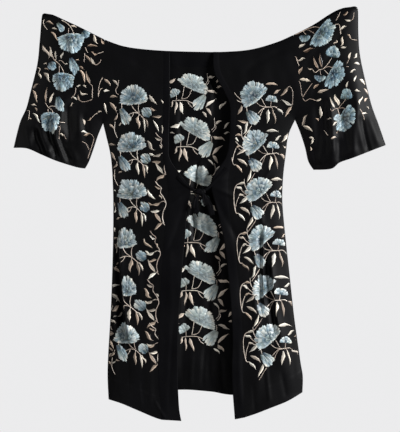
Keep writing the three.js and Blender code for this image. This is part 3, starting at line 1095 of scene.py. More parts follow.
@dataclass
class Knot:
    """The small tight knot, with the wraps of the strip round it."""

    material: Material

    WRAPS = ((0.16, -0.30, -0.12, 0.10), (0.12, 0.35, 0.46, 0.09))  # depth, slant, place, width
    PUCKERS = ((0.035, 9, 5, 0), (0.025, 14, -3, 1))  # rise, waves up and across, phase
    BOXY = 0.86  # power that squares the ball a little
    TIGHT = 0.98  # size, against the knot's radii

    def build(self) -> Object:
        """Makes the knot.

        Returns:
            The piece, which stands for its solid.
        """
        bm = bmesh.new()
        bmesh.ops.create_uvsphere(bm, u_segments=56, v_segments=36, radius=1)
        mesh = as_mesh(bm, "knot")
        unit = coordinates(mesh)
        x, z = unit[:, 0], unit[:, 2]
        wrap = np.ones(len(unit))
        for depth, slant, place, width in self.WRAPS:
            wrap -= depth * np.exp(-(((x + slant * z - place) / width) ** 2))
        wrap += sum(rise * np.sin(up * z + over * x + phase)
                    for rise, up, over, phase in self.PUCKERS)
        boxy = np.sign(unit) * np.abs(unit) ** self.BOXY
        shape = boxy * np.array(KNOT_RADII) * (wrap * self.TIGHT)[:, None]
        set_coordinates(mesh, (KNOT + shape) * MM)
        set_uv(mesh, unit[:, [0, 2]] * KNOT_RADII[0])
        shade_smooth(mesh)
        piece = add_object("tie_knot_silk", mesh, self.material)
        dress(piece, "band_silk", "tie_knot")
        log.info("tie_knot_silk: %d faces", len(mesh.polygons))
        return piece


def bow(material: Material) -> list[Strip]:
    """The strips of the waist tie, whose widths and places are in millimetres.

    Args:
        material: the silk of the band.

    Returns:
        The strips, not built yet.
    """

    def from_knot(*steps: Sequence[float]) -> list[Points]:
        """The places at those steps from the knot."""
        return [KNOT + np.array(step, float) for step in steps]

    def loop(start: Sequence[float], low: Sequence[float]) -> list[Points]:
        """A loop that goes down from start to its low end and comes back behind itself."""
        first, last = from_knot(start, low)
        middle = (first + last) / 2
        return [first, middle + (-2, -3, 0), last, middle + (1, 6, 0), first + (0, 6, -1.6)]

    tie_widths, loop_widths = (13, 10.5, 9, 8), (6, 11, 14.5, 11, 6)
    strips = [
        Strip("tie_left_silk", "tie_left",
              [on_band(-62, -486), on_band(-44, -505), *from_knot((-17.6, 0, 2))],
              tie_widths, material),
        Strip("tie_right_silk", "tie_right",
              [on_band(84, -462), on_band(60, -489), *from_knot((16.4, 0, 5))],
              tie_widths, material),
        Strip("tie_end_left_silk", "tie_end_left",
              from_knot((-6, 6, -7), (-10, 6, -33), (-13, 6, -66)),
              (6, 10, 13, 14), material, frayed=True),
        Strip("tie_end_right_silk", "tie_end_right",
              from_knot((9, 6, -6.1), (25, 5, -31), (35, 4, -70)),
              (6, 15, 17, 15), material, frayed=True),
    ]
    for side, start, low in (
        (L, (-8, -5, -7.1), (-15, -10, -51)), (R, (9, -5, -6.6), (18, -10, -40)),
    ):
        name = f"bow_loop_{side.value}"
        across = (start[2] - low[2], 0.0, low[0] - start[0])
        strips.append(Strip(f"{name}_silk", name, loop(start, low), loop_widths, material,
                            across=across, swell=0.5))
    return strips


# ---- Embroidery ------------------------------------------

CHART = 3.0  # mm of cloth to one unit of a chart
THREAD_DEPTH = 0.3  # mm that the edge of the stitching sinks into the silk


@dataclass(frozen=True)
class Leaf:
    """A pointed leaf in satin stitch, from its stalk to its tip, in chart units."""

    start: Point
    tip: Point
    width: float
    bend: float = 0.6


@dataclass(frozen=True)
class Stem:
    """A line of outline stitch through chart points."""

    points: tuple[Point, ...]
    width: float = 0.62


@dataclass(frozen=True)
class PetalRow:
    """One row of overlapping petals in a fan, as shares of the fan's size."""

    petals: int
    inner: float
    outer: float
    lift: float  # mm
    shade: float  # 0 pale, 1 deep
    across: int = 6
    down: int = 7


BLOSSOM_ROWS = (
    PetalRow(21, 0.28, 1.0, 0.15, 0.1, 7, 9), PetalRow(13, 0.20, 0.80, 0.40, 0.4, 7, 8),
    PetalRow(7, 0.10, 0.58, 0.65, 0.75), PetalRow(5, 0.0, 0.34, 0.85, 1.0, 5, 5),
)
BUD_ROWS = (
    PetalRow(5, 0.10, 1.0, 0.15, 0.2, 6, 9), PetalRow(4, 0.06, 0.76, 0.40, 0.45),
    PetalRow(2, 0.0, 0.48, 0.65, 0.8, 5, 5),
)
FLORET_ROWS = (PetalRow(5, 0.05, 1.0, 0.15, 0.3, 5, 6), PetalRow(3, 0.0, 0.6, 0.4, 0.7, 5, 5))


@dataclass(frozen=True)
class Fan:
    """A flower seen from its side: petals that spread like a fan from a base point.

    height runs along the axis, at the angle `axis` in degrees, and breadth to each side; spread
    is how far the petals open each way, in degrees.
    """

    base: Point
    axis: float
    height: float
    breadth: float
    spread: float = 180.0
    rows: tuple[PetalRow, ...] = BLOSSOM_ROWS


class Thread(Enum):
    """The two colours of thread, each stitched in pieces of its own."""

    FLOWERS = "thread_blue"
    LEAVES = "thread_cream"


@dataclass(frozen=True)
class Unit:
    """One repeat of the pattern around the joint of its stems, in chart units."""

    fans: tuple[Fan, ...] = ()
    leaves: tuple[Leaf, ...] = ()
    stems: tuple[Stem, ...] = ()


def leaf_rows(*rows: Sequence[float]) -> tuple[Leaf, ...]:
    """Leaves from rows of start x and z, tip x and z, width and, if not the usual one, bend."""
    return tuple(Leaf(row[:2], row[2:4], *row[4:]) for row in rows)


def stem_rows(*rows: Sequence[float]) -> tuple[Stem, ...]:
    """Stems from rows of x and z in turn that end, where it isn't the usual one, with a width."""
    return tuple(
        Stem(tuple(zip(row[::2], row[1::2])), *(row[-1:] if len(row) % 2 else ())) for row in rows
    )


LEANING = Unit(
    fans=(
        Fan((-15.2, 9.4), 132, 16, 15), Fan((-23.3, -4.5), -50, 16, 9.5, 44, BUD_ROWS),
        Fan((0.6, 5.5), 82, 7, 6.2, 92, FLORET_ROWS),
    ),
    leaves=leaf_rows(
        (-5.5, 22.5, 7.5, 21.3, 3.8, 1.2), (3, 13, 10, 17.5, 3), (16.5, 20, 9, 11, 3.8),
        (21.5, 2.5, 10.5, 8, 3.6), (21.5, 1.5, 14.5, -10, 3.8, -0.8),
        (6.5, -1, 12.5, -7.5, 3.4, 1), (-2.3, -2, -3.5, -17, 4.8, 0.4),
        (1.7, -1, 4.5, -17, 2.8, 0.7), (-22.3, -15, -27.5, -28, 4),
    ),
    stems=stem_rows(
        (-9.5, 8.8, -7, 4, -4.5, 0.3), (-14.5, 4.4, -10, 1, -4.5, 0.2, 0, 0),
        (6.5, -1, 4, 0.5, 0, 0, -4, -0.3, -8, -1.8, -13, -7, 0.8),
        (-6.5, -1, -8.6, -4.6, -11, -10.5), (0.5, 6, 0.2, 2.5, 0, 0),
        (-24.5, 1, -24, -2, -23.2, -5), (0, 0, 1.2, -0.5, 1.7, -2),
        (16.3, 19.8, 19, 20.8, 21.5, 17, 22, 10, 21.5, 2), (-18.5, -18.5, -22, -24, -26.5, -31),
        (-36.5, 14, -33.5, 10, -28.5, 6), (-34, 6.5, -31.5, 4.8, -28.5, 4.2),
    ),
)
LEANING_TWIG = Unit(
    leaves=leaf_rows(
        (-29, 2, -33, -8, 3.6), (-22.5, -15.3, -33, -12.6, 3.4), (-34.5, -18, -28.5, -23.5, 3.2),
    ),
)
LEANING_VINE = Unit(
    leaves=leaf_rows(
        (-37.8, 16.6, -30.5, 15.6, 3.8, 1), (-40, 13.6, -33.5, 10.6, 3.4),
        (-36.6, 4, -31.5, 6.4, 3), (-27.5, 5, -36, -3.2, 4), (-35, -6.5, -24.5, -14, 4, 1),
        (-36.4, -12.4, -29.5, -20.5, 3.6),
    ),
    stems=stem_rows(
        (-32, 22, -31, 15, -27, 9),
        (-36.6, 17, -40, 14.6, -41.6, 8, -41.2, -1, -39.8, -9, -38.2, -12.6, -36, -12.4, 0.75),
        (-39.6, -9, -38.6, -2, -36.6, 4),
    ),
)
UPRIGHT = Unit(
    fans=(
        Fan((-5.4, 12.4), 96, 16.6, 14.8), Fan((-18.2, 5), -62, 18.5, 7.4, 46, BUD_ROWS),
        Fan((11.3, -3.2), 128, 12, 6.2, 62, FLORET_ROWS),
    ),
    leaves=leaf_rows(
        (10, 18.8, 18.6, 9, 4.2, -1.2), (22, 14, 23.6, 9.5, 2.2), (11.4, 6.4, 17.4, 3.6, 3, -0.8),
        (22.9, -2.3, 13.6, -2.6, 3.8), (0, -2.2, 0, -15.4, 4.4, -0.4),
        (4.3, -4.3, 6.2, -19, 2.8, 0.6), (6.4, -5, 9.6, -14, 2.6, 0.6),
        (-29.3, 15.7, -21.4, 15.7, 3.2, 0.9), (-37.9, 12.9, -31.4, -1.4, 3.8),
        (-29.3, 11, -21.8, -0.4, 3.8), (-21.4, -2, -25, -7.2, 3.2), (-20, -12.5, -16, -10.5, 2.8),
        (-29.3, -10.7, -25, -16.4, 3.2),
    ),
    stems=stem_rows(
        (-8.2, 10, -5, 4.3, 0, 0), (0, 10.6, -0.5, 5, 0.4, 0), (0, 0, -5, 0.7, -10.5, -1.6, 0.8),
        (-5, 0.7, -6.5, -3, -9, -5.4), (0, 0, 4.3, -4.3, 6.4, -6.5, 0.8),
        (-17.6, 10.5, -17, 6, -17.8, 3.6), (0, 0, 0.3, -1.5, 0, -3),
        (-21.6, -0.4, -21, -1.2, -21.4, -2.4), (-23.4, -8, -24, -14, -23.6, -19, -20.7, -25),
    ),
)
UPRIGHT_VINE = Unit(
    leaves=leaf_rows(
        (20.4, -14, 12.4, -1.2, 4.2), (21.6, -14.4, 13.4, -22, 3.8, -0.8),
        (18.7, 19.7, 12.2, 22.2, 3.2), (18.2, 6, 9.8, 3.2, 3.6, 0.9),
    ),
    stems=stem_rows(
        (12.8, 27, 15.5, 23.5, 19, 20.6, 18.4, 15.8, 22.4, 10, 24.4, 4, 22, -2.6, 21.4, -9, 23,
         -14.6, 0.75), (18.2, 6, 21.6, 7.4, 23.6, 6.2), (21, -13.4, 22.6, -14.8, 24.2, -16.4),
    ),
)
UPRIGHT_TWIG = Unit(
    leaves=leaf_rows(
        (-34.3, 35, -27.9, 27, 4), (-26, 33.5, -20.6, 27.6, 3.6), (-37, 22, -28.6, 22.6, 3.2, 1.6),
        (14.3, -7.1, 20, -19.3, 2.8), (22.5, -12, 22.9, -20.7, 2.2),
    ),
    stems=stem_rows(
        (-19.6, 34, -20.4, 28, -22.8, 24, -22, 20.6, -19.8, 18.8),
        (-40, 20, -38.6, 27, -37.6, 32, -34.3, 35),
    ),
)
BACKWARD = Unit(
    fans=(
        Fan((8.4, 14.2), 60, 14.2, 17.6), Fan((25.7, 4.4), -128, 19, 9.8, 43, BUD_ROWS),
        Fan((-5.4, 4.2), 122, 9, 6.4, 80, FLORET_ROWS),
    ),
    leaves=leaf_rows(
        (-6.3, 22.7, -16.3, 18.3, 4.6, 1), (-16.3, 12.7, -11.7, 12, 2.6),
        (29, 21.7, 36.3, 25.3, 3.2), (26.7, 10, 39, 5.3, 4.2), (37.7, 17.7, 44, 24, 3.2),
        (37.7, 12.9, 44, 13.3, 3.2), (26.3, -8.7, 37.7, 1.3, 4), (26.3, -9.3, 32.3, -17.3, 4.6),
        (-1.7, -2, 2.3, -16, 4.8, -0.6), (-6, -1.3, -7, -16, 3, 0.6), (-9, -1.3, -12, -8, 2.8),
        (22, -13.3, 27.7, -19.7, 2.8), (41.3, -11.3, 48.7, -1.3, 4),
    ),
    stems=stem_rows(
        (3.2, 14.5, 1.4, 5, 0.3, 0.7), (11.2, 10.6, 7, 2.6, 0.3, 0.7),
        (-10.3, -1.3, -5, -0.8, 0, -0.7, 6.3, -1.3, 13, -4.6, 0.8), (6.7, -2, 9, -6, 12, -8.6),
        (-5.3, 5, -5.3, -0.7), (25.4, 10, 25.6, 7, 25.5, 4), (25, 16, 28.3, 20, 28, 28.7),
        (26.3, 14, 29.7, 18.7, 29, 21.7),
    ),
)
# The lower left front, where a deep fold hides part of each blossom.
HALF_HIDDEN = (
    replace(
        UPRIGHT, fans=(Fan((-6.8, 12.6), 98, 17, 10.4), UPRIGHT.fans[2]),
        leaves=UPRIGHT.leaves + leaf_rows(
            (-22.2, 31.6, -20.2, 25, 3), (-21.5, 17.5, -15.5, 18.8, 3), (-20, 12.8, -18, 7.4, 2),
            (-16, -5.4, -18, -8, 2.4),
        )),
    replace(
        UPRIGHT, fans=(Fan((-3.2, 14), 95, 16.5, 7.2), UPRIGHT.fans[2]),
        leaves=UPRIGHT.leaves + leaf_rows(
            (-22.2, 37.7, -15.5, 32.3, 4), (-24.2, 17.5, -14.8, 20.2, 4),
            (-23.6, 12.1, -14.1, 2.7, 4), (-14.8, 0, -22.9, -6, 4.2),
            (-11.4, -6.7, -16.2, -10.8, 3),
        )),
    replace(
        UPRIGHT, fans=(Fan((-8, 10), 95, 17, 13), *UPRIGHT.fans[1:]),
        leaves=UPRIGHT.leaves + leaf_rows(
            (-25.6, 30.3, -20.2, 24.9, 4), (-26.2, 12.8, -21.5, 16.2, 4),
            (-26.9, 2, -23.5, -2.7, 4), (-26.9, -8, -22.9, -4, 4),
            (-22.9, -14.8, -20.2, -11.4, 3.6),
        )),
)
# The topmost repeat of the back, where the cloth folds over, and the one behind the knot.
TOPMOST = replace(BACKWARD, fans=(Fan((12, 13.6), 65, 13.8, 17.2), *BACKWARD.fans[1:]))
BEHIND_KNOT = replace(BACKWARD, fans=(
    Fan((9.6, 13.2), 60, 15, 15.2), Fan((19.8, -3.5), -115, 11.5, 7, 43, BUD_ROWS),
    BACKWARD.fans[2],
))
SLEEVE_LEFT = Unit(
    fans=(
        Fan((11.8, 32), -86, 16, 13.8), Fan((23.9, 38), -45, 8.5, 5.6, 80, FLORET_ROWS),
        Fan((-1.2, 46.9), -55, 11, 4.6, 46, BUD_ROWS),
        Fan((11.4, 11.8), -74, 17.5, 7.2, 44, BUD_ROWS),
        Fan((-9.8, 7.8), -60, 10, 5.2, 70, FLORET_ROWS), Fan((3.7, -7.2), -96, 15.5, 11.4),
        Fan((-2.7, -26.9), -78, 16, 6.6, 52, BUD_ROWS), Fan((-10.3, -46.4), -94, 17.5, 9.8),
    ),
    leaves=leaf_rows(
        (-13, 47.3, -4.7, 45.4, 3, 1), (-6.9, 41.5, -1.5, 39.6, 3.4), (-7.9, 38, -0.9, 28.5, 3.2),
        (-16.5, 25.3, -10.4, 11, 4), (-6.3, 12.2, -9.5, 23.7, 3), (-3.1, 11, -3.1, 19.2, 2.6),
        (2, 11, 4.2, 17.3, 3), (11.8, 44.1, 17.6, 41.5, 2.6), (34.8, 34.5, 39.6, 24.3, 4, -1),
        (46.2, 22.4, 42.4, 31, 3), (38, 14.8, 31.6, 17, 3.2), (27.8, 22.4, 39.2, 22.4, 2.8, 0.8),
        (25.5, 14.1, 31, 5.9, 3.4), (36.1, 3.9, 31, 11.6, 3.2), (16.3, 9, 20.1, 8.4, 2.2),
        (5.5, 4.6, 8.7, 5.2, 2.2), (19.5, 2.7, 23.9, -1.1, 4.4), (19.5, -1.1, 24.6, -10.1, 3),
        (-16.2, 6.5, -13, 5.2, 3), (-15.5, 2, -11.7, -0.5, 3), (-15.9, -3.1, -13, -8.8, 3),
        (21, -1, 25.3, -14.6, 3.6), (30.3, -15.4, 26.5, -1.9, 3.6),
        (22.7, -16.3, 26.5, -19.2, 3.4), (16.4, -17.1, 21, -17.1, 2.2),
        (20.2, -21.4, 27.8, -25.6, 3.2, -1.6), (12.5, -27.3, 16.4, -31.5, 4.4),
        (19.7, -31.5, 17.6, -25.6, 3), (9.6, -36.2, 13.4, -34.5, 3),
        (-16.3, -2.7, -9.5, -12.5, 3.6), (-27.7, -18, -20.9, -13.7, 3.6),
        (-27.7, -19.2, -23.5, -32.4, 3.6), (-21.8, -2.7, -18.8, -8.6, 2.6),
        (-14.6, -32.4, -12.5, -17.1, 2.6), (-10.8, -33.2, -6.1, -22.6, 3.6),
        (-29.8, -34.1, -24.3, -35.8, 3.2), (-26.4, -37.5, -23.1, -40.8, 2.8),
        (-32.8, -48.5, -29.4, -48.5, 3), (-28.1, -42.5, -20.5, -53.1, 3.2),
        (-1.9, -64.6, 2.8, -66.7, 4.4), (21.4, -50.2, 23.6, -56.1, 3.2),
        (30.8, -48.9, 26.1, -51, 3.2), (36.7, -44.2, 40.9, -43, 2.4),
        (19.7, -62.9, 26.9, -63.7, 2.6), (22.3, -66.3, 29.5, -65, 3.2),
    ),
    stems=stem_rows(
        (2.9, 49.8, 8.7, 46, 13.1, 40.3, 15.7, 33.2), (9.9, 41.5, 9.6, 34.5),
        (-14.3, 51.1, -15.2, 47.3, -13.6, 43.4, -11.1, 40.3),
        (49.1, 23.1, 46.2, 18, 42.4, 16.1, 38, 14.8), (25.9, 21.8, 28.4, 16.1),
        (25.5, 16.1, 24.6, 6.5), (32.2, 7.1, 36.1, 3.6, 39.9, 5.9, 41.8, 9),
        (-9.5, 23.7, -6.3, 12.2, -4.1, 9, 1, 3.9, 5.5, -6.2), (-0.3, 4.6, -0.3, -3.7),
        (-3.1, 11, -4.1, 9), (-0.9, 8.4, 1.7, 9, 5.5, 5.2),
        (30.3, -15.4, 32.5, -18, 32, -23.9, 32, -29.8),
        (17.6, -26.4, 19.3, -31.5, 24.4, -32.8, 32, -30.7), (15.5, -18.4, 15.1, -23.9, 10.8, -29),
        (-22.6, 2.8, -19.7, 1.5, -21.8, -3.6),
        (-15.4, -32.4, -12, -37.5, -8.2, -40.8, -8.2, -45.9), (-12.5, -38.3, -12.7, -45.9),
        (-11.6, -37, -8.6, -36.2, -4.8, -37), (-34.1, -40, -31.5, -40, -31.9, -45.1, -32.8, -49.3),
        (-0.6, -52.7, 4.1, -53.1), (-2.7, -56.9, -0.6, -57.8, -1.9, -62.9, -2.3, -69.7),
        (2.4, -64.6, 4.5, -69.7), (30.8, -48.9, 33.7, -45.9, 36.7, -44.2),
        (29.5, -65, 32, -68.8, 30.3, -75.6, 27.8, -82.4, 25.3, -89.2),
        (20.2, -72.2, 24.4, -74.7, 26.9, -80.7), (44, -8, 40.5, -13, 38.5, -20, 38, -28.5),
        (38.4, -26, 40.6, -20.6, 45, -19.6),
    ),
)
SLEEVE_RIGHT = Unit(
    fans=(
        Fan((-13.8, 43.3), -38, 13.6, 16.6), Fan((-29.5, 40.5), -90, 7.5, 6, 80, FLORET_ROWS),
        Fan((-2.5, 17.2), 78, 12, 7.6, 80, BUD_ROWS), Fan((-3.6, 1.1), -30, 12.4, 15.2),
        Fan((-15.5, -0.5), -95, 7, 5.8, 85, FLORET_ROWS),
        Fan((9.8, -25.3), 85, 12, 6.2, 78, BUD_ROWS), Fan((6, -43), -30, 12.6, 14.8),
        Fan((5, -43.5), 178, 9, 4.6, 70, FLORET_ROWS),
    ),
    leaves=leaf_rows(
        (14.5, 63, 9, 59.5, 3), (17, 53.5, 11, 55, 4), (6, 45.5, 12.5, 47.5, 3),
        (-35.5, 27.5, -29, 32, 3.4), (-32, 24, -20.5, 26, 4.2), (-37, 15, -29.5, 16.5, 3),
        (-36, 1, -32.5, 9, 4.2), (-36, -4, -25, -6, 4.2), (-15, -23.5, -21, -25.5, 3),
        (-23, 6, -27.5, 7.5, 4), (-16.5, 6, -21.5, 18.5, 3), (-13.2, 7, -14.5, 21.5, 4.8),
        (-22, -14, -16.5, -9, 3.4), (-18.5, -17.5, -7, -15, 3.8), (-16, -31, -17, -44, 3.8),
        (-21, -43, -18, -46, 2.6), (-34.5, -50, -28.5, -39, 4.2), (-34, -50, -24, -57, 4.2),
        (1.5, 35, -0.5, 30, 2.6), (8.5, 38, 5.5, 28, 3.4), (6, 26.5, 12, 26.5, 4.2),
        (12.5, 39.5, 17, 35, 3), (14, 15, 16.5, 22, 3), (22.5, 21, 18.5, 16, 3),
        (19, 10.5, 25.5, 10, 3.4), (14.5, 1.5, 21, 3.5, 3.8), (23.5, -5, 30, -11, 4.2),
        (18.5, -17, 24.5, -17.5, 3.8), (10.5, -13.5, 12.5, -7, 2.6), (23, -31, 27, -22, 3),
        (28.5, -28, 32, -24, 4.4), (-1.5, -33.5, -6.5, -22, 3), (2.5, -31, -1, -19, 4.8),
        (-4.5, -51, 1, -48, 3.4), (-1.5, -56.5, 3, -57, 4), (25, -40, 30.5, -40, 4.2),
        (30, -34, 33.2, -35, 3), (-10, -45, -5, -44, 2), (-7, -64, -1, -63, 4),
        (-28, -62, -23, -64, 4), (-23.5, -62, -27, -69, 2.6), (-26.6, -71, -27.4, -75.5, 2),
        (18.6, -8, 21, -1.5, 2.6), (28, -14, 32.5, -21, 3),
    ),
    stems=stem_rows(
        (7, 63, 4.5, 58, 2, 54), (20.5, 62, 19.5, 56, 17, 53.5), (1, 50, 5, 50, 6, 45.5, 6.5, 40),
        (-39, 41.5, -35, 43, -27, 46.5, -19, 48.5, -12.5, 46.5), (-31, 45, -28, 40.5),
        (-26, 46, -19.5, 41.5), (-41.5, 19.4, -39, 18.6, -36.7, 14.6, -31.8, 16),
        (-39, 18.6, -37.6, 14, -36, 9.5), (-36.5, -5, -35, -11, -33.5, -21, -29.5, -16, -23.5, -8),
        (-33.5, -22, -31, -25.5, -26, -23.5, -20.5, -25.5),
        (-23, 6, -20, 2.5, -16.5, 5, -12.5, 6, -8, 10, -3, 17), (-12.5, 6, -7, 8, -2, 6.5),
        (-11.5, 5, -7, 0.5), (-15.5, 5, -14.5, -0.5), (17, 35, 23, 34), (14, 15, 11.5, 10.5),
        (10.5, 7.5, 13.5, 7.5), (2, -33.5, 6, -29, 9.5, -25), (1, -34, 3, -41),
        (-6.5, -34, -5, -36.5, -2, -34.5, 3, -33.5, 7, -33.5, 9.2, -35.5),
        (23, -35, 25.5, -39, 27.5, -46), (-13, -55, -9, -61),
    ),
)


@dataclass(frozen=True)
class Floss:
    """The colours of the silk thread, from the palest to the deepest."""

    rims: tuple[str, ...] = ("#c3c6bf", "#b3bdbe", "#cfccc2", "#b9c2c2", "#a6b3b6")
    petals: tuple[str, ...] = ("#87949a", "#778a92", "#959c9b", "#7f8f90", "#70848e")
    hearts: tuple[str, ...] = ("#43535b", "#3a4f5a", "#4e5b5b", "#3c4a54", "#5c635d")
    leaves: tuple[str, ...] = ("#d2c5b6", "#e6dfd2", "#b5a392", "#c4b19f", "#dbd1c2")
    stems: tuple[str, ...] = ("#c9bbae", "#d6cabd", "#b4a599")


class Stitches:
    """The stitching of one unit: patches of thread with their colour and run.

    The spreads below are those of normal draws. Heights are in mm, and streaks are a number of
    columns and a spread.

    Args:
        unit: the unit to stitch.
        thread: which of its threads to stitch.
        seed: picks this copy's small differences.
    """

    FLOSS = Floss()
    RIM = 1e-4  # share of a patch that counts as its border
    AHEAD = 0.01  # share of a stem over which its way is read

    LEAF_BEND, LEAF_BEND_SPREAD = 1.2, 0.3  # times the charted bend
    LEAF_CURL = 0.5  # chart units, the spread of a second, S-shaped bend
    LEAF_LIGHT = 0.16  # spread of its lightness
    LEAF_PAINTED_SHADE = (0.35, 0.7)  # painted shade: lightness of its shaded half, against its painted-lit half
    LEAF_BREADTH = 0.45  # of its length, at most
    LEAF_BELLY, LEAF_POINT = 0.78, 1.35  # powers: where it is broadest, and how pointed
    LEAF_HALF = 0.4  # of its width, because the stitches draw in
    LEAF_RISE, LEAF_CROWN, LEAF_RIB = 0.2, 0.65, 0.4  # at the edge, in the middle, of the midrib
    LEAF_EDGE_STREAKS, LEAF_STREAKS = (12, 0.17), (10, 0.07)
    LEAF_ACROSS, LEAF_LEAST_ROWS = 8, 8

    STEM_HALF = 0.46  # of its width
    STEM_RISE, STEM_CROWN = 0.15, 0.6
    STEM_EDGE_STREAKS, STEM_STREAKS = (16, 0.16), (24, 0.14)
    STEM_PAINTED_SHADING = 0.2  # painted shade and highlight: how much darker one edge is than the middle, and the other edge lighter
    STEM_TWIST = 0.7  # chart units that its stitches run on from edge to edge
    STEM_ACROSS, STEM_ROW = 4, 0.9  # faces, and chart units to a row of them

    PETAL_REACH, PETAL_TURN, PETAL_LIGHT = 0.045, 0.04, 0.13  # spreads
    PETAL_OVERLAP = 1.3  # its angle against its share of the fan
    PETAL_NOTCH, PETAL_WAVE = 0.075, 0.035  # shares that its corners and its scalloped rim lose
    PETAL_STREAKS, PETAL_LIGHT_STREAKS = (7, 0.2), (7, 0.16)
    BEHIND = 0.24  # how far a fan's petals reach behind its base
    OPEN = 90.0  # degrees of spread above which a fan is a blossom and not a bud
    BUD_BASE = 0.34  # how broad a bud is at its base

    def __init__(self, unit: Unit, thread: Thread, seed: int) -> None:
        """Stitches the unit."""
        self.rng = np.random.default_rng(seed)
        self.mesh = bpy.data.meshes.new("stitches")
        self.bm = bmesh.new()
        self.places: list[Points] = []
        self.tints: list[Points] = []
        self.threads: list[Points] = []
        if thread is Thread.LEAVES:
            for stem in unit.stems:
                self.stem(stem)
            for leaf in unit.leaves:
                self.leaf(leaf)
        else:
            for fan in unit.fans:
                self.fan(fan)
        self.bm.to_mesh(self.mesh)
        self.bm.free()
        self.place = np.concatenate([np.zeros((0, 3)), *self.places])
        self.tint = np.concatenate([np.zeros((0, 3)), *self.tints])
        self.thread = np.concatenate([np.zeros((0, 2)), *self.threads])
        self.middle_tint = self.tint.mean(0) if self.tints else np.zeros(3)

    def colour(self, choices: Sequence[str]) -> Points:
        """One of the colours, at random, linear."""
        return np.array(linear(choices[self.rng.integers(len(choices))])[:3])

    def patch(self, across: int, down: int, shape: Callable) -> None:
        """Adds a patch of stitches.

        Args:
            across: faces across it.
            down: faces down it.
            shape: turns u and v into chart points, heights, colours and thread runs.
        """
        grid = share_grid(across, down)
        u, v = coordinates(grid)[:, :2].T
        points, height, tint, thread = shape(u, v)
        border = (np.minimum(u, 1 - u) < self.RIM) | (np.minimum(v, 1 - v) < self.RIM)
        height = np.where(border, -THREAD_DEPTH, height)
        self.places.append(np.column_stack([points * CHART, height]))
        self.tints.append(np.clip(tint, 0, 1))
        self.threads.append(thread)
        self.bm.from_mesh(grid)
        bpy.data.meshes.remove(grid)

    def streaks(self, u: Points, count: int, amount: float) -> Points:
        """A random lightness for each column of stitches across u."""
        steps = self.rng.normal(0, amount, count + 1)
        return np.interp(u, np.linspace(0, 1, count + 1), steps)

    def leaf(self, leaf: Leaf) -> None:
        """Stitches a leaf, in two slanted halves that meet at a midrib.

        Args:
            leaf: the leaf.
        """
        start, tip = np.array(leaf.start, float), np.array(leaf.tip, float)
        way = tip - start
        length = float(np.hypot(*way))
        normal = np.array([-way[1], way[0]]) / length
        bend = leaf.bend * (self.LEAF_BEND + self.rng.normal(0, self.LEAF_BEND_SPREAD))
        curl = self.rng.normal(0, self.LEAF_CURL)
        base = self.colour(self.FLOSS.leaves) * (1 + self.rng.normal(0, self.LEAF_LIGHT))
        width = min(leaf.width, self.LEAF_BREADTH * length)
        shaded_half = self.rng.uniform(*self.LEAF_PAINTED_SHADE)

        def shape(u: Points, v: Points) -> tuple:
            """The leaf's stitches."""
            side = 2 * u - 1
            along = 0.5 - 0.5 * np.cos(np.pi * v)
            profile = np.sin(np.pi * along**self.LEAF_BELLY) ** self.LEAF_POINT
            profile = profile * (1 + self.streaks(v, *self.LEAF_EDGE_STREAKS))
            sway = 4 * bend * along * (1 - along) + curl * np.sin(2 * np.pi * along)
            middle = start + along[:, None] * way + sway[:, None] * normal
            points = middle + (side * profile * width * self.LEAF_HALF)[:, None] * normal
            crown = self.LEAF_CROWN * np.sqrt(np.clip(1 - side**2, 0, 1))
            height = self.LEAF_RISE + crown * profile
            height = height - self.LEAF_RIB * np.exp(-((side / 0.2) ** 2)) * profile
            # Painted light: the half with side over 0 is drawn lit and the other in painted shade,
            # and a line along the midrib is darkened as painted shade in its groove.
            light = np.where(side > 0, 1.0, shaded_half) * (1 + self.streaks(v, *self.LEAF_STREAKS))
            light = light * (1 - 0.3 * np.exp(-((side / 0.16) ** 2)))
            slant = np.abs(side) * width * 0.45
            thread = np.column_stack([along * length + slant, side * width / 2]) * CHART
            return points, height, light[:, None] * base, thread

        rows = max(self.LEAF_LEAST_ROWS, round(length * 0.9))
        self.patch(self.LEAF_ACROSS, rows, shape)

    def stem(self, stem: Stem) -> None:
        """Stitches a stem along its line.

        Args:
            stem: the stem.
        """
        line = Line(stem.points)
        base = self.colour(self.FLOSS.stems)

        def shape(u: Points, v: Points) -> tuple:
            """The stem's stitches."""
            side = 2 * u - 1
            ahead = line(np.minimum(v + self.AHEAD, 1)) - line(np.maximum(v - self.AHEAD, 0))
            ahead = ahead / np.hypot(*ahead.T)[:, None]
            normal = np.column_stack([-ahead[:, 1], ahead[:, 0]])
            wide = stem.width * self.STEM_HALF * (1 + self.streaks(v, *self.STEM_EDGE_STREAKS))
            points = line(v) + (side * wide)[:, None] * normal
            height = self.STEM_RISE + self.STEM_CROWN * (1 - side**2)
            # Painted shade on one edge of the stem and painted highlight on the other.
            light = 1 + self.streaks(v, *self.STEM_STREAKS) - self.STEM_PAINTED_SHADING * side
            run = v * line.length + side * self.STEM_TWIST
            thread = np.column_stack([run, side * stem.width / 2]) * CHART
            return points, height, light[:, None] * base, thread

        rows = max(self.STEM_ACROSS, round(line.length / self.STEM_ROW))
        self.patch(self.STEM_ACROSS, rows, shape)

    def fan(self, fan: Fan) -> None:
        """Stitches a flower, its outer row of petals first.

        Args:
            fan: the flower.
        """
        angle = math.radians(fan.axis)
        axis = np.array([math.cos(angle), math.sin(angle)])
        across = np.array([-axis[1], axis[0]])
        spread = math.radians(fan.spread)
        for row in fan.rows:
            for k in range(row.petals):
                middle = spread * ((2 * k + 1) / row.petals - 1)
                self.petal(fan, row, middle, spread / row.petals, axis, across)

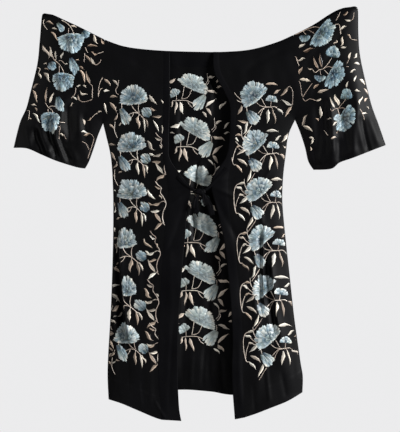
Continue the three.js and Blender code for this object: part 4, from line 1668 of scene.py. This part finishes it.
    def petal(self, fan: Fan, row: PetalRow, middle: float, half: float, axis: Points,
              across: Points) -> None:
        """Stitches one petal.

        Args:
            fan: the flower.
            row: the petal's row.
            middle: the petal's direction from the axis, in radians.
            half: half its angle.
            axis: the flower's axis in the chart.
            across: the direction across it.
        """
        rim, body = self.colour(self.FLOSS.rims), self.colour(self.FLOSS.petals)
        heart = self.colour(self.FLOSS.hearts)
        reach = row.outer * (1 + self.rng.normal(0, self.PETAL_REACH))
        turn = middle + self.rng.normal(0, self.PETAL_TURN)
        lobe = self.rng.uniform(0, 6.28)
        bright = 1 + self.rng.normal(0, self.PETAL_LIGHT)

        def shape(u: Points, v: Points) -> tuple:
            """The petal's stitches."""
            side = 2 * u - 1
            notch = self.PETAL_NOTCH * side**2 + self.PETAL_WAVE * np.sin(8 * side + lobe)
            out = row.inner + (reach * (1 - notch) - row.inner) * v
            phi = turn + side * half * self.PETAL_OVERLAP * (0.8 + 0.2 * v)
            along, aside = fan.height * np.cos(phi), fan.breadth * np.sin(phi)
            along = np.where(along < 0, self.BEHIND * along, along)
            wide = out if fan.spread > self.OPEN else mix(self.BUD_BASE, 1.0, out)
            points = np.array(fan.base) + (out * along)[:, None] * axis
            points = points + (wide * aside)[:, None] * across
            crown = np.clip(1 - side**2, 0, 1) ** 0.6
            height = row.lift + 0.55 * crown * (0.6 + 0.4 * np.sin(np.pi * v))
            height = height * smooth(v / 0.2 + 0.25)
            t = v**1.3 + self.streaks(u, *self.PETAL_STREAKS) - 0.4 * row.shade
            t = np.clip(t, 0, 1)[:, None]
            inner, outer = mix(heart, body, smooth(t * 2)), mix(body, rim, smooth(t * 2 - 1))
            tint = np.where(t < 0.5, inner, outer)
            # Painted shade: each petal is darkened towards its sides, where it meets its
            # neighbours; bright is its random tone.
            light = bright * (1 - 0.5 * np.abs(side) ** 4)
            light = light * (1 + self.streaks(u, *self.PETAL_LIGHT_STREAKS))
            thread = np.column_stack([side * half * fan.height, v * fan.height]) * CHART
            return points, height, light[:, None] * tint, thread

        self.patch(row.across, row.down, shape)


@dataclass(frozen=True)
class Placement:
    """Where one unit lies: the joint of its stems in the plan, and whether it is mirrored."""

    unit: Unit
    node: Point
    mirror: bool = False
    scale: float = 1.0


class Ground:
    """The two layers of the hung jacket, looked up for what is stitched on them."""

    CELL = 2.4  # mm to a cell of the tables
    LOW = np.array([-600.0, -1240.0])  # their lowest corner
    SHAPE = (501, 550)
    STEP = 1.5  # mm over which the cloth's slope is read
    LEAST_EDGE = 0.02  # mm

    def __init__(self) -> None:
        """Fills the tables."""
        x = self.LOW[0] + self.CELL * np.arange(self.SHAPE[0])
        z = self.LOW[1] + self.CELL * np.arange(self.SHAPE[1])
        points = np.stack(np.meshgrid(x, z, indexing="ij"), -1).reshape(-1, 2)
        edge = to_closed_edge(points)
        self.edge = edge.reshape(self.SHAPE)
        self.layers = {layer.side: layer for layer in (FRONT, BACK)}
        self.off = {
            side: layer.stand_off(points, edge).reshape(self.SHAPE)
            for side, layer in self.layers.items()
        }

    def look_up(self, table: Points, points: Points) -> Points:
        """The table's value at each plan point."""
        share = (points - self.LOW) / self.CELL
        cell = np.clip(share.astype(int), 0, np.array(self.SHAPE) - 2)
        f = share - cell
        i, j = cell.T
        low = mix(table[i, j], table[i + 1, j], f[:, 0])
        high = mix(table[i, j + 1], table[i + 1, j + 1], f[:, 0])
        return mix(low, high, f[:, 1])

    def depth(self, points: Points, side: int, closing: float) -> Points:
        """How far the middle of the cloth lies off the seam plane."""
        edge = self.look_up(self.edge, points)
        off = self.look_up(self.off[side], points) + CLOTH / 2
        off = off * np.sqrt(1 - np.exp(-np.maximum(edge, self.LEAST_EDGE) / closing))
        return off if closing > SEWN else np.maximum(off, SILK / 2)

    def place(self, points: Points, height: Points, side: int, inner: bool,
              closing: float) -> Points:
        """Stitches in space, in metres, raised off the cloth along its own normal.

        Args:
            points: plan points.
            height: how far above the cloth's face each one is.
            side: the layer's side of the seam plane.
            inner: whether they lie on the inner face.
            closing: within this distance of a closed edge the layer comes in to the seam plane.

        Returns:
            The points in space.
        """
        lift = height + SILK / 2
        lift = -lift if inner else lift
        across, up = np.array([self.STEP, 0]), np.array([0, self.STEP])
        slopes = [
            (self.depth(points + way, side, closing) - self.depth(points - way, side, closing))
            / (2 * self.STEP) for way in (across, up)
        ]
        long = np.sqrt(1 + slopes[0] ** 2 + slopes[1] ** 2)
        x = points[:, 0] - lift * slopes[0] / long
        z = points[:, 1] - lift * slopes[1] / long
        y = side * (self.depth(points, side, closing) + lift / long)
        return over_the_edge(x + self.layers[side].sideways(points), y, z) * MM


def inside(points: Points, outline: Points) -> Points:
    """Finds which plan points lie inside a closed outline.

    Args:
        points: plan points.
        outline: the outline's points, in order.

    Returns:
        Whether each one does.
    """
    x, z = points.T
    within = np.zeros(len(points), bool)
    for (ax, az), (bx, bz) in zip(outline, np.roll(outline, -1, axis=0)):
        if az == bz:
            continue
        crosses = ((az > z) != (bz > z)) & (x < (bx - ax) * (z - az) / (bz - az) + ax)
        within ^= crosses
    return within


def nearest_on(points: Points, edge: Points) -> tuple[Points, Points]:
    """Finds the nearest place on an open line.

    Args:
        points: plan points.
        edge: the line's points, in order.

    Returns:
        The place for each point, and its distance.
    """
    best = np.full(len(points), np.inf)
    spot = np.zeros((len(points), 2))
    for a, b in zip(edge[:-1], edge[1:]):
        gap, t = to_stretch(points, a, b)
        closer = gap < best
        best = np.where(closer, gap, best)
        spot = np.where(closer[:, None], a + t[:, None] * (b - a), spot)
    return spot, best


@dataclass
class Embroidery:
    """All the stitching on one face of one panel, as one mesh."""

    name: str
    thread: Thread
    outline: Points
    layer: Layer
    placements: Sequence[Placement]
    material: Material
    ground: Ground
    inner: bool = False
    closing: float = SEWN
    folds: Sequence[Points] = ()  # closed edges that the stitching runs on over
    margin: float = 1.5  # mm of bare silk inside the panel's outline
    tone_and_painted_light: tuple[float, float, float] = (1.0, 1.0, 1.0)  # times the threads' own colours: a change of tone, which on the back's inner face is painted light and on the right sleeve painted shade
    faded: float = -0.12  # how far its shades have drawn together, or apart where it is below 0
    seed: int = 1
    piece: Object = field(init=False)

    COPIES = 3  # of each unit, worked by hand
    SEED_STEP, FIRST_SEED = 17, 5
    TURN = 1.5  # degrees, the spread of how each unit is turned
    LIGHT = 0.05  # the spread of its lightness
    FOLD_REACH = 0.5  # mm by which a fold counts as nearer than the outline
    library = {}

    def stitches(self, unit: Unit, number: int) -> Stitches:
        """The stitching of a unit, one of a few hand-made copies."""
        key = (id(unit), self.thread, number % self.COPIES)
        if key not in self.library:
            seed = self.SEED_STEP * len(self.library) + self.FIRST_SEED
            self.library[key] = Stitches(unit, self.thread, seed)
        return self.library[key]

    def build(self) -> Object:
        """Stitches every placement and lays it on the cloth.

        Returns:
            The piece.
        """
        rng = np.random.default_rng(self.seed)
        bm = bmesh.new()
        plan, heights, tints, threads = [], [], [], []
        for number, placing in enumerate(self.placements):
            work = self.stitches(placing.unit, number + self.seed)
            turn = math.radians(rng.normal(0, self.TURN))
            way = np.array([[math.cos(turn), -math.sin(turn)], [math.sin(turn), math.cos(turn)]])
            local = work.place[:, :2] * placing.scale * (-1 if placing.mirror else 1, 1)
            plan.append(local @ way.T + np.array(placing.node))
            heights.append(work.place[:, 2])
            tint = mix(work.tint, work.middle_tint, self.faded)
            # The colours times the panel's tone and painted light, and a random lightness for each
            # unit.
            tints.append(tint * np.array(self.tone_and_painted_light) * (1 + rng.normal(0, self.LIGHT)))
            threads.append(work.thread)
            before = len(bm.faces)
            bm.from_mesh(work.mesh)
            outer_back = self.layer.side > 0 and not self.inner
            if placing.mirror != outer_back:
                bm.faces.ensure_lookup_table()
                bmesh.ops.reverse_faces(bm, faces=bm.faces[before:])
        mesh = as_mesh(bm, self.name)
        points, height = np.concatenate(plan), np.concatenate(heights)
        space, keep = self.lay(points, height)
        set_coordinates(mesh, space)
        tint = np.column_stack([np.clip(np.concatenate(tints), 0, 1), np.ones(len(points))])
        layer = mesh.color_attributes.new("tint", "FLOAT_COLOR", "POINT")
        layer.data.foreach_set("color", tint.ravel())
        set_uv(mesh, np.concatenate(threads), "thread")
        self.trim(mesh, keep)
        shade_smooth(mesh)
        self.piece = add_object(self.name, mesh, self.material)
        dress(self.piece, self.thread.value)
        log.info("%s: %d faces", self.name, len(mesh.polygons))
        return self.piece

    def lay(self, points: Points, height: Points) -> tuple[Points, Points]:
        """Lays plan points on the cloth.

        Args:
            points: plan points.
            height: how far above the cloth's face each one is.

        Returns:
            The points in space, and which of them lie on the panel.
        """
        within = inside(points, self.outline)
        side = self.layer.side
        space = self.ground.place(points, height, side, self.inner, self.closing)
        rest = nearest_on(points, np.vstack([self.outline, self.outline[:1]]))[1]
        keep = within & (rest > self.margin)
        if self.folds:
            fold = [nearest_on(points, line) for line in self.folds]
            gaps = np.stack([gap for _, gap in fold])
            choice = gaps.argmin(0)
            spot = np.stack([place for place, _ in fold])[choice, np.arange(len(points))]
            near_fold = gaps.min(0) < rest + self.FOLD_REACH
            over = ~within & near_fold
            space[over] = self.ground.place(
                2 * spot[over] - points[over], height[over], -side, False, self.closing)
            keep = keep | near_fold
        return space, keep

    @staticmethod
    def trim(mesh: Mesh, keep: Points) -> None:
        """Takes away the stitches that would lie off the panel."""
        with editing(mesh) as bm:
            off = [v for v, stays in zip(bm.verts, keep) if not stays]
            bmesh.ops.delete(bm, geom=off, context="VERTS")
            loose = [v for v in bm.verts if not v.link_faces]
            bmesh.ops.delete(bm, geom=loose, context="VERTS")


# Where the stems of each repeat join, from the top down.
LEFT_NODES = [(-180, -298), (-183, -437), (-186, -580), (-195, -727), (-195, -874), (-189, -1003)]
RIGHT_NODES = [(214, -279), (220, -418), (228, -564), (238, -708), (247, -856), (257, -1000)]
BACK_NODES = [(-53, -255), (-39, -394), (-33, -535), (-18, -682), (-23, -826), (-23, -964)]
LEFT_VINE_SHIFTS = (15, 14, 6, 2, 2)
FIRST_HIDDEN = 3  # the repeat of the left front from which the fold hides part of each
TOPMOST_SCALE = 0.93
OUTER_SHIFT = -14  # of the middle column, on the outer face
OUTER_COLUMNS = ((-224, -4, LEANING, LEANING_VINE), (166, 4, UPRIGHT, UPRIGHT_VINE))
OUTER_TOP, REPEAT = -285, 143
KNOT_REPEAT = 2  # the repeat of the back that shows behind the knot


def front_placements(side: Side) -> list[Placement]:
    """The column of units on a front.

    Args:
        side: the front's side.

    Returns:
        The units' places, in the order in which they are worked.
    """
    if side is L:
        units = (UPRIGHT,) * FIRST_HIDDEN + HALF_HIDDEN
        column = [Placement(unit, node) for unit, node in zip(units, LEFT_NODES)]
        vines = [Placement(UPRIGHT_VINE, (x + dx, z))
                 for (x, z), dx in zip(LEFT_NODES[1:], LEFT_VINE_SHIFTS)]
        return column + vines + [Placement(UPRIGHT_TWIG, LEFT_NODES[0])]
    column = [Placement(LEANING, node) for node in RIGHT_NODES]
    column.append(Placement(LEANING_TWIG, RIGHT_NODES[0]))
    return column + [Placement(LEANING_VINE, node) for node in RIGHT_NODES[1:]]


def back_placements(outer: bool) -> list[Placement]:
    """The middle column of the back, and on its outer face a column to each side as well.

    Args:
        outer: whether it is the outer face.

    Returns:
        The units' places, in the order in which they are worked.
    """
    shift = OUTER_SHIFT if outer else 0
    column = [Placement(BACKWARD, (x + shift, z)) for x, z in BACK_NODES]
    column[0] = replace(column[0], unit=TOPMOST, scale=TOPMOST_SCALE)
    if not outer:
        column[KNOT_REPEAT] = replace(column[KNOT_REPEAT], unit=BEHIND_KNOT)
        return column
    for x, drift, unit, vine in OUTER_COLUMNS:
        for k in range(len(BACK_NODES)):
            node = (x + drift * k, OUTER_TOP - REPEAT * k)
            column += [Placement(unit, node, mirror=True), Placement(vine, node, mirror=True)]
    return column


# Painted light: the threads on the back's inner face, which lies in shade behind the fronts, are
# made this much lighter.
BACK_PAINTED_LIGHT = {Thread.FLOWERS: (1.68, 1.60, 1.52), Thread.LEAVES: (1.22, 1.24, 1.26)}
# The sleeves' threads darkened: a deeper tone on both, and on the right sleeve, lit by the key
# light, a further darkening that is painted shade.
SLEEVE_TONE_AND_PAINTED_SHADE = {
    (Thread.FLOWERS, L): (0.70, 0.80, 0.86), (Thread.FLOWERS, R): (0.52, 0.62, 0.67),
    (Thread.LEAVES, L): (0.98, 0.95, 0.92), (Thread.LEAVES, R): (0.84, 0.80, 0.76),
}
SLEEVE_PLACEMENTS = {
    L: [Placement(SLEEVE_LEFT, (-417, -166.5))], R: [Placement(SLEEVE_RIGHT, (408, -181.5))],
}
BACK_FADED, SLEEVE_FADED = 0.4, -0.32
REAR_MARGIN = 9.0  # mm of bare silk round the rear of a sleeve, where the front's runs over
FOLD_STOPS = np.linspace(0, 1, 60)


# ---- Studio ----------------------------------------------


@dataclass(frozen=True)
class SoftLight:
    """A square soft light: its place and the length of its side in metres, its power in watts."""

    name: str
    place: tuple[float, float, float]
    size: float
    power: float


@dataclass
class Studio:
    """The camera, the lights and the floor, in metres."""

    distance: float = 4.0
    sight: Point = (0.003, -0.6045)  # x and z that the camera looks straight at
    view_height: float = 1.296  # what the camera takes in at the seam plane
    sensor: float = 36.0  # mm
    surround: str = "#f1f1f2"
    surround_strength: float = 0.95
    floor_level: float = -1.5
    floor_size: float = 2.6
    lights: tuple[SoftLight, ...] = (
        SoftLight("key", (5.0, -2.8, 1.3), 2.0, 720),
        SoftLight("fill", (-2.8, -2.8, 0.3), 2.4, 54),
        SoftLight("rear_key", (2.8, 2.2, 1.2), 1.6, 180),
        SoftLight("rear_fill", (-2.8, 2.6, -0.4), 2.0, 115),
    )

    def camera(self) -> None:
        """Sets a level camera straight before the jacket."""
        data = bpy.data.cameras.new("camera")
        data.sensor_width = self.sensor
        data.lens = data.sensor_width * self.distance / self.view_height
        data.clip_end = 50.0
        camera = bpy.data.objects.new("camera", data)
        camera.location = (self.sight[0], -self.distance, self.sight[1])
        camera.rotation_euler = (math.radians(90), 0, 0)
        bpy.context.scene.collection.objects.link(camera)
        bpy.context.scene.camera = camera

    def light(self, light: SoftLight) -> None:
        """Adds a light that faces the middle of the jacket.

        Args:
            light: the light.
        """
        data = bpy.data.lights.new(light.name, "AREA")
        data.size = light.size
        data.energy = light.power
        lamp = bpy.data.objects.new(light.name, data)
        lamp.location = light.place
        aim = Vector((0, 0, self.sight[1])) - Vector(light.place)
        lamp.rotation_euler = aim.to_track_quat("-Z", "Y").to_euler()
        bpy.context.scene.collection.objects.link(lamp)

    def world(self) -> None:
        """Sets an even pale surround."""
        world = bpy.data.worlds.new("studio")
        world.use_nodes = True
        background = world.node_tree.nodes["Background"]
        background.inputs["Color"].default_value = linear(self.surround)
        background.inputs["Strength"].default_value = self.surround_strength
        bpy.context.scene.world = world
        world.cycles_visibility.glossy = world.cycles_visibility.diffuse = False

    def floor(self) -> None:
        """Lays the floor below the hem."""
        bm = bmesh.new()
        bmesh.ops.create_grid(bm, x_segments=8, y_segments=8, size=self.floor_size / 2)
        bmesh.ops.translate(bm, verts=bm.verts, vec=(0, 0, self.floor_level))
        add_object("floor", as_mesh(bm, "floor"), Paint().build())

    def build(self) -> None:
        """Sets up the whole studio."""
        bpy.context.scene.view_settings.view_transform = "Standard"
        self.camera()
        self.world()
        for light in self.lights:
            self.light(light)
        self.floor()


def cut_panels(silk: Material, band_silk: Material) -> list[Panel]:
    """Cuts every panel of cloth.

    Args:
        silk: the silk of the jacket.
        band_silk: the silk of its band.

    Returns:
        The panels, not built yet.
    """
    panels = [Panel("back_cloth", Cutting.back(), BACK, ("back",), silk, step=4.4, hem_line=0.936)]
    for side in Side:
        name = side.value
        panels += [
            Panel(f"front_{name}_cloth", Cutting.front(side), FRONT, (f"front_{name}",), silk,
                  hem_line=0.937),
            BandPanel(f"band_{name}_cloth", Cutting.band(side), FRONT, (f"front_band_{name}",),
                      band_silk),
            Sleeve(f"sleeve_{name}_cloth", Cutting.sleeve(side), FRONT,
                   (f"sleeve_{name}_front", f"sleeve_{name}_back"), silk, hem_line=0.93),
        ]
    panels.append(Panel("neck_band_cloth", Cutting.neck(), BACK, ("neck_band",), band_silk,
                        wall=BAND))
    return panels


def plan_embroidery(outlines: dict[str, Points]) -> list[Embroidery]:
    """Plans all the embroidery.

    Args:
        outlines: each panel's outline in the plan, by its name.

    Returns:
        The works, not built yet.
    """
    floss = FlossSilk().build()
    ground = Ground()
    back = outlines["back_cloth"]
    works: list[Embroidery] = []
    for thread in Thread:
        kind = thread.name.lower()
        works += [
            Embroidery(f"back_inner_{kind}", thread, back, BACK, back_placements(False), floss,
                       ground, inner=True, tone_and_painted_light=BACK_PAINTED_LIGHT[thread], faded=BACK_FADED, seed=2),
            Embroidery(f"back_outer_{kind}", thread, back, BACK, back_placements(True), floss,
                       ground, seed=3),
        ]
        for side in Side:
            name = side.value
            works.append(Embroidery(
                f"front_{name}_{kind}", thread, outlines[f"front_{name}_cloth"], FRONT,
                front_placements(side), floss, ground, seed=4))
            folds = [Line(edge[side])(FOLD_STOPS)
                     for edge in (SLEEVE_TOP, SLEEVE_OUTER, SLEEVE_INNER)]
            walls = (("front", FRONT, {"folds": folds}), ("rear", BACK, {"margin": REAR_MARGIN}))
            works += [
                Embroidery(f"sleeve_{name}_{wall}_{kind}", thread,
                           outlines[f"sleeve_{name}_cloth"], layer, SLEEVE_PLACEMENTS[side],
                           floss, ground, closing=Sleeve.closing,
                           tone_and_painted_light=SLEEVE_TONE_AND_PAINTED_SHADE[thread, side], faded=SLEEVE_FADED, seed=6, **extent)
                for wall, layer, extent in walls
            ]
    return works


def main() -> None:
    """Builds the jacket piece by piece."""
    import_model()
    Studio().build()
    silk = CrepeSilk("crepe_silk", "#040405", "#070709", 0.5).build()
    band_silk = CrepeSilk("band_silk", "#060608", "#0b0b0d", 0.55, shine=0.035).build()
    panels = cut_panels(silk, band_silk)
    outlines = {panel.name: panel.outline() for panel in panels}
    works = plan_embroidery(outlines)
    for work in works:
        work.build()
    Knot(band_silk).build()
    for strip in bow(band_silk):
        strip.build()
    for panel in panels:
        piece, outline = panel.build(), outlines[panel.name]
        rounds = 2 if isinstance(panel, Sleeve) else 1  # a sleeve goes round its tube
        flat = ((outline.max(0) - outline.min(0)) * MM).tolist()
        flat[0] *= rounds


if __name__ == "__main__":
    logging.basicConfig(level=logging.INFO)
    main()
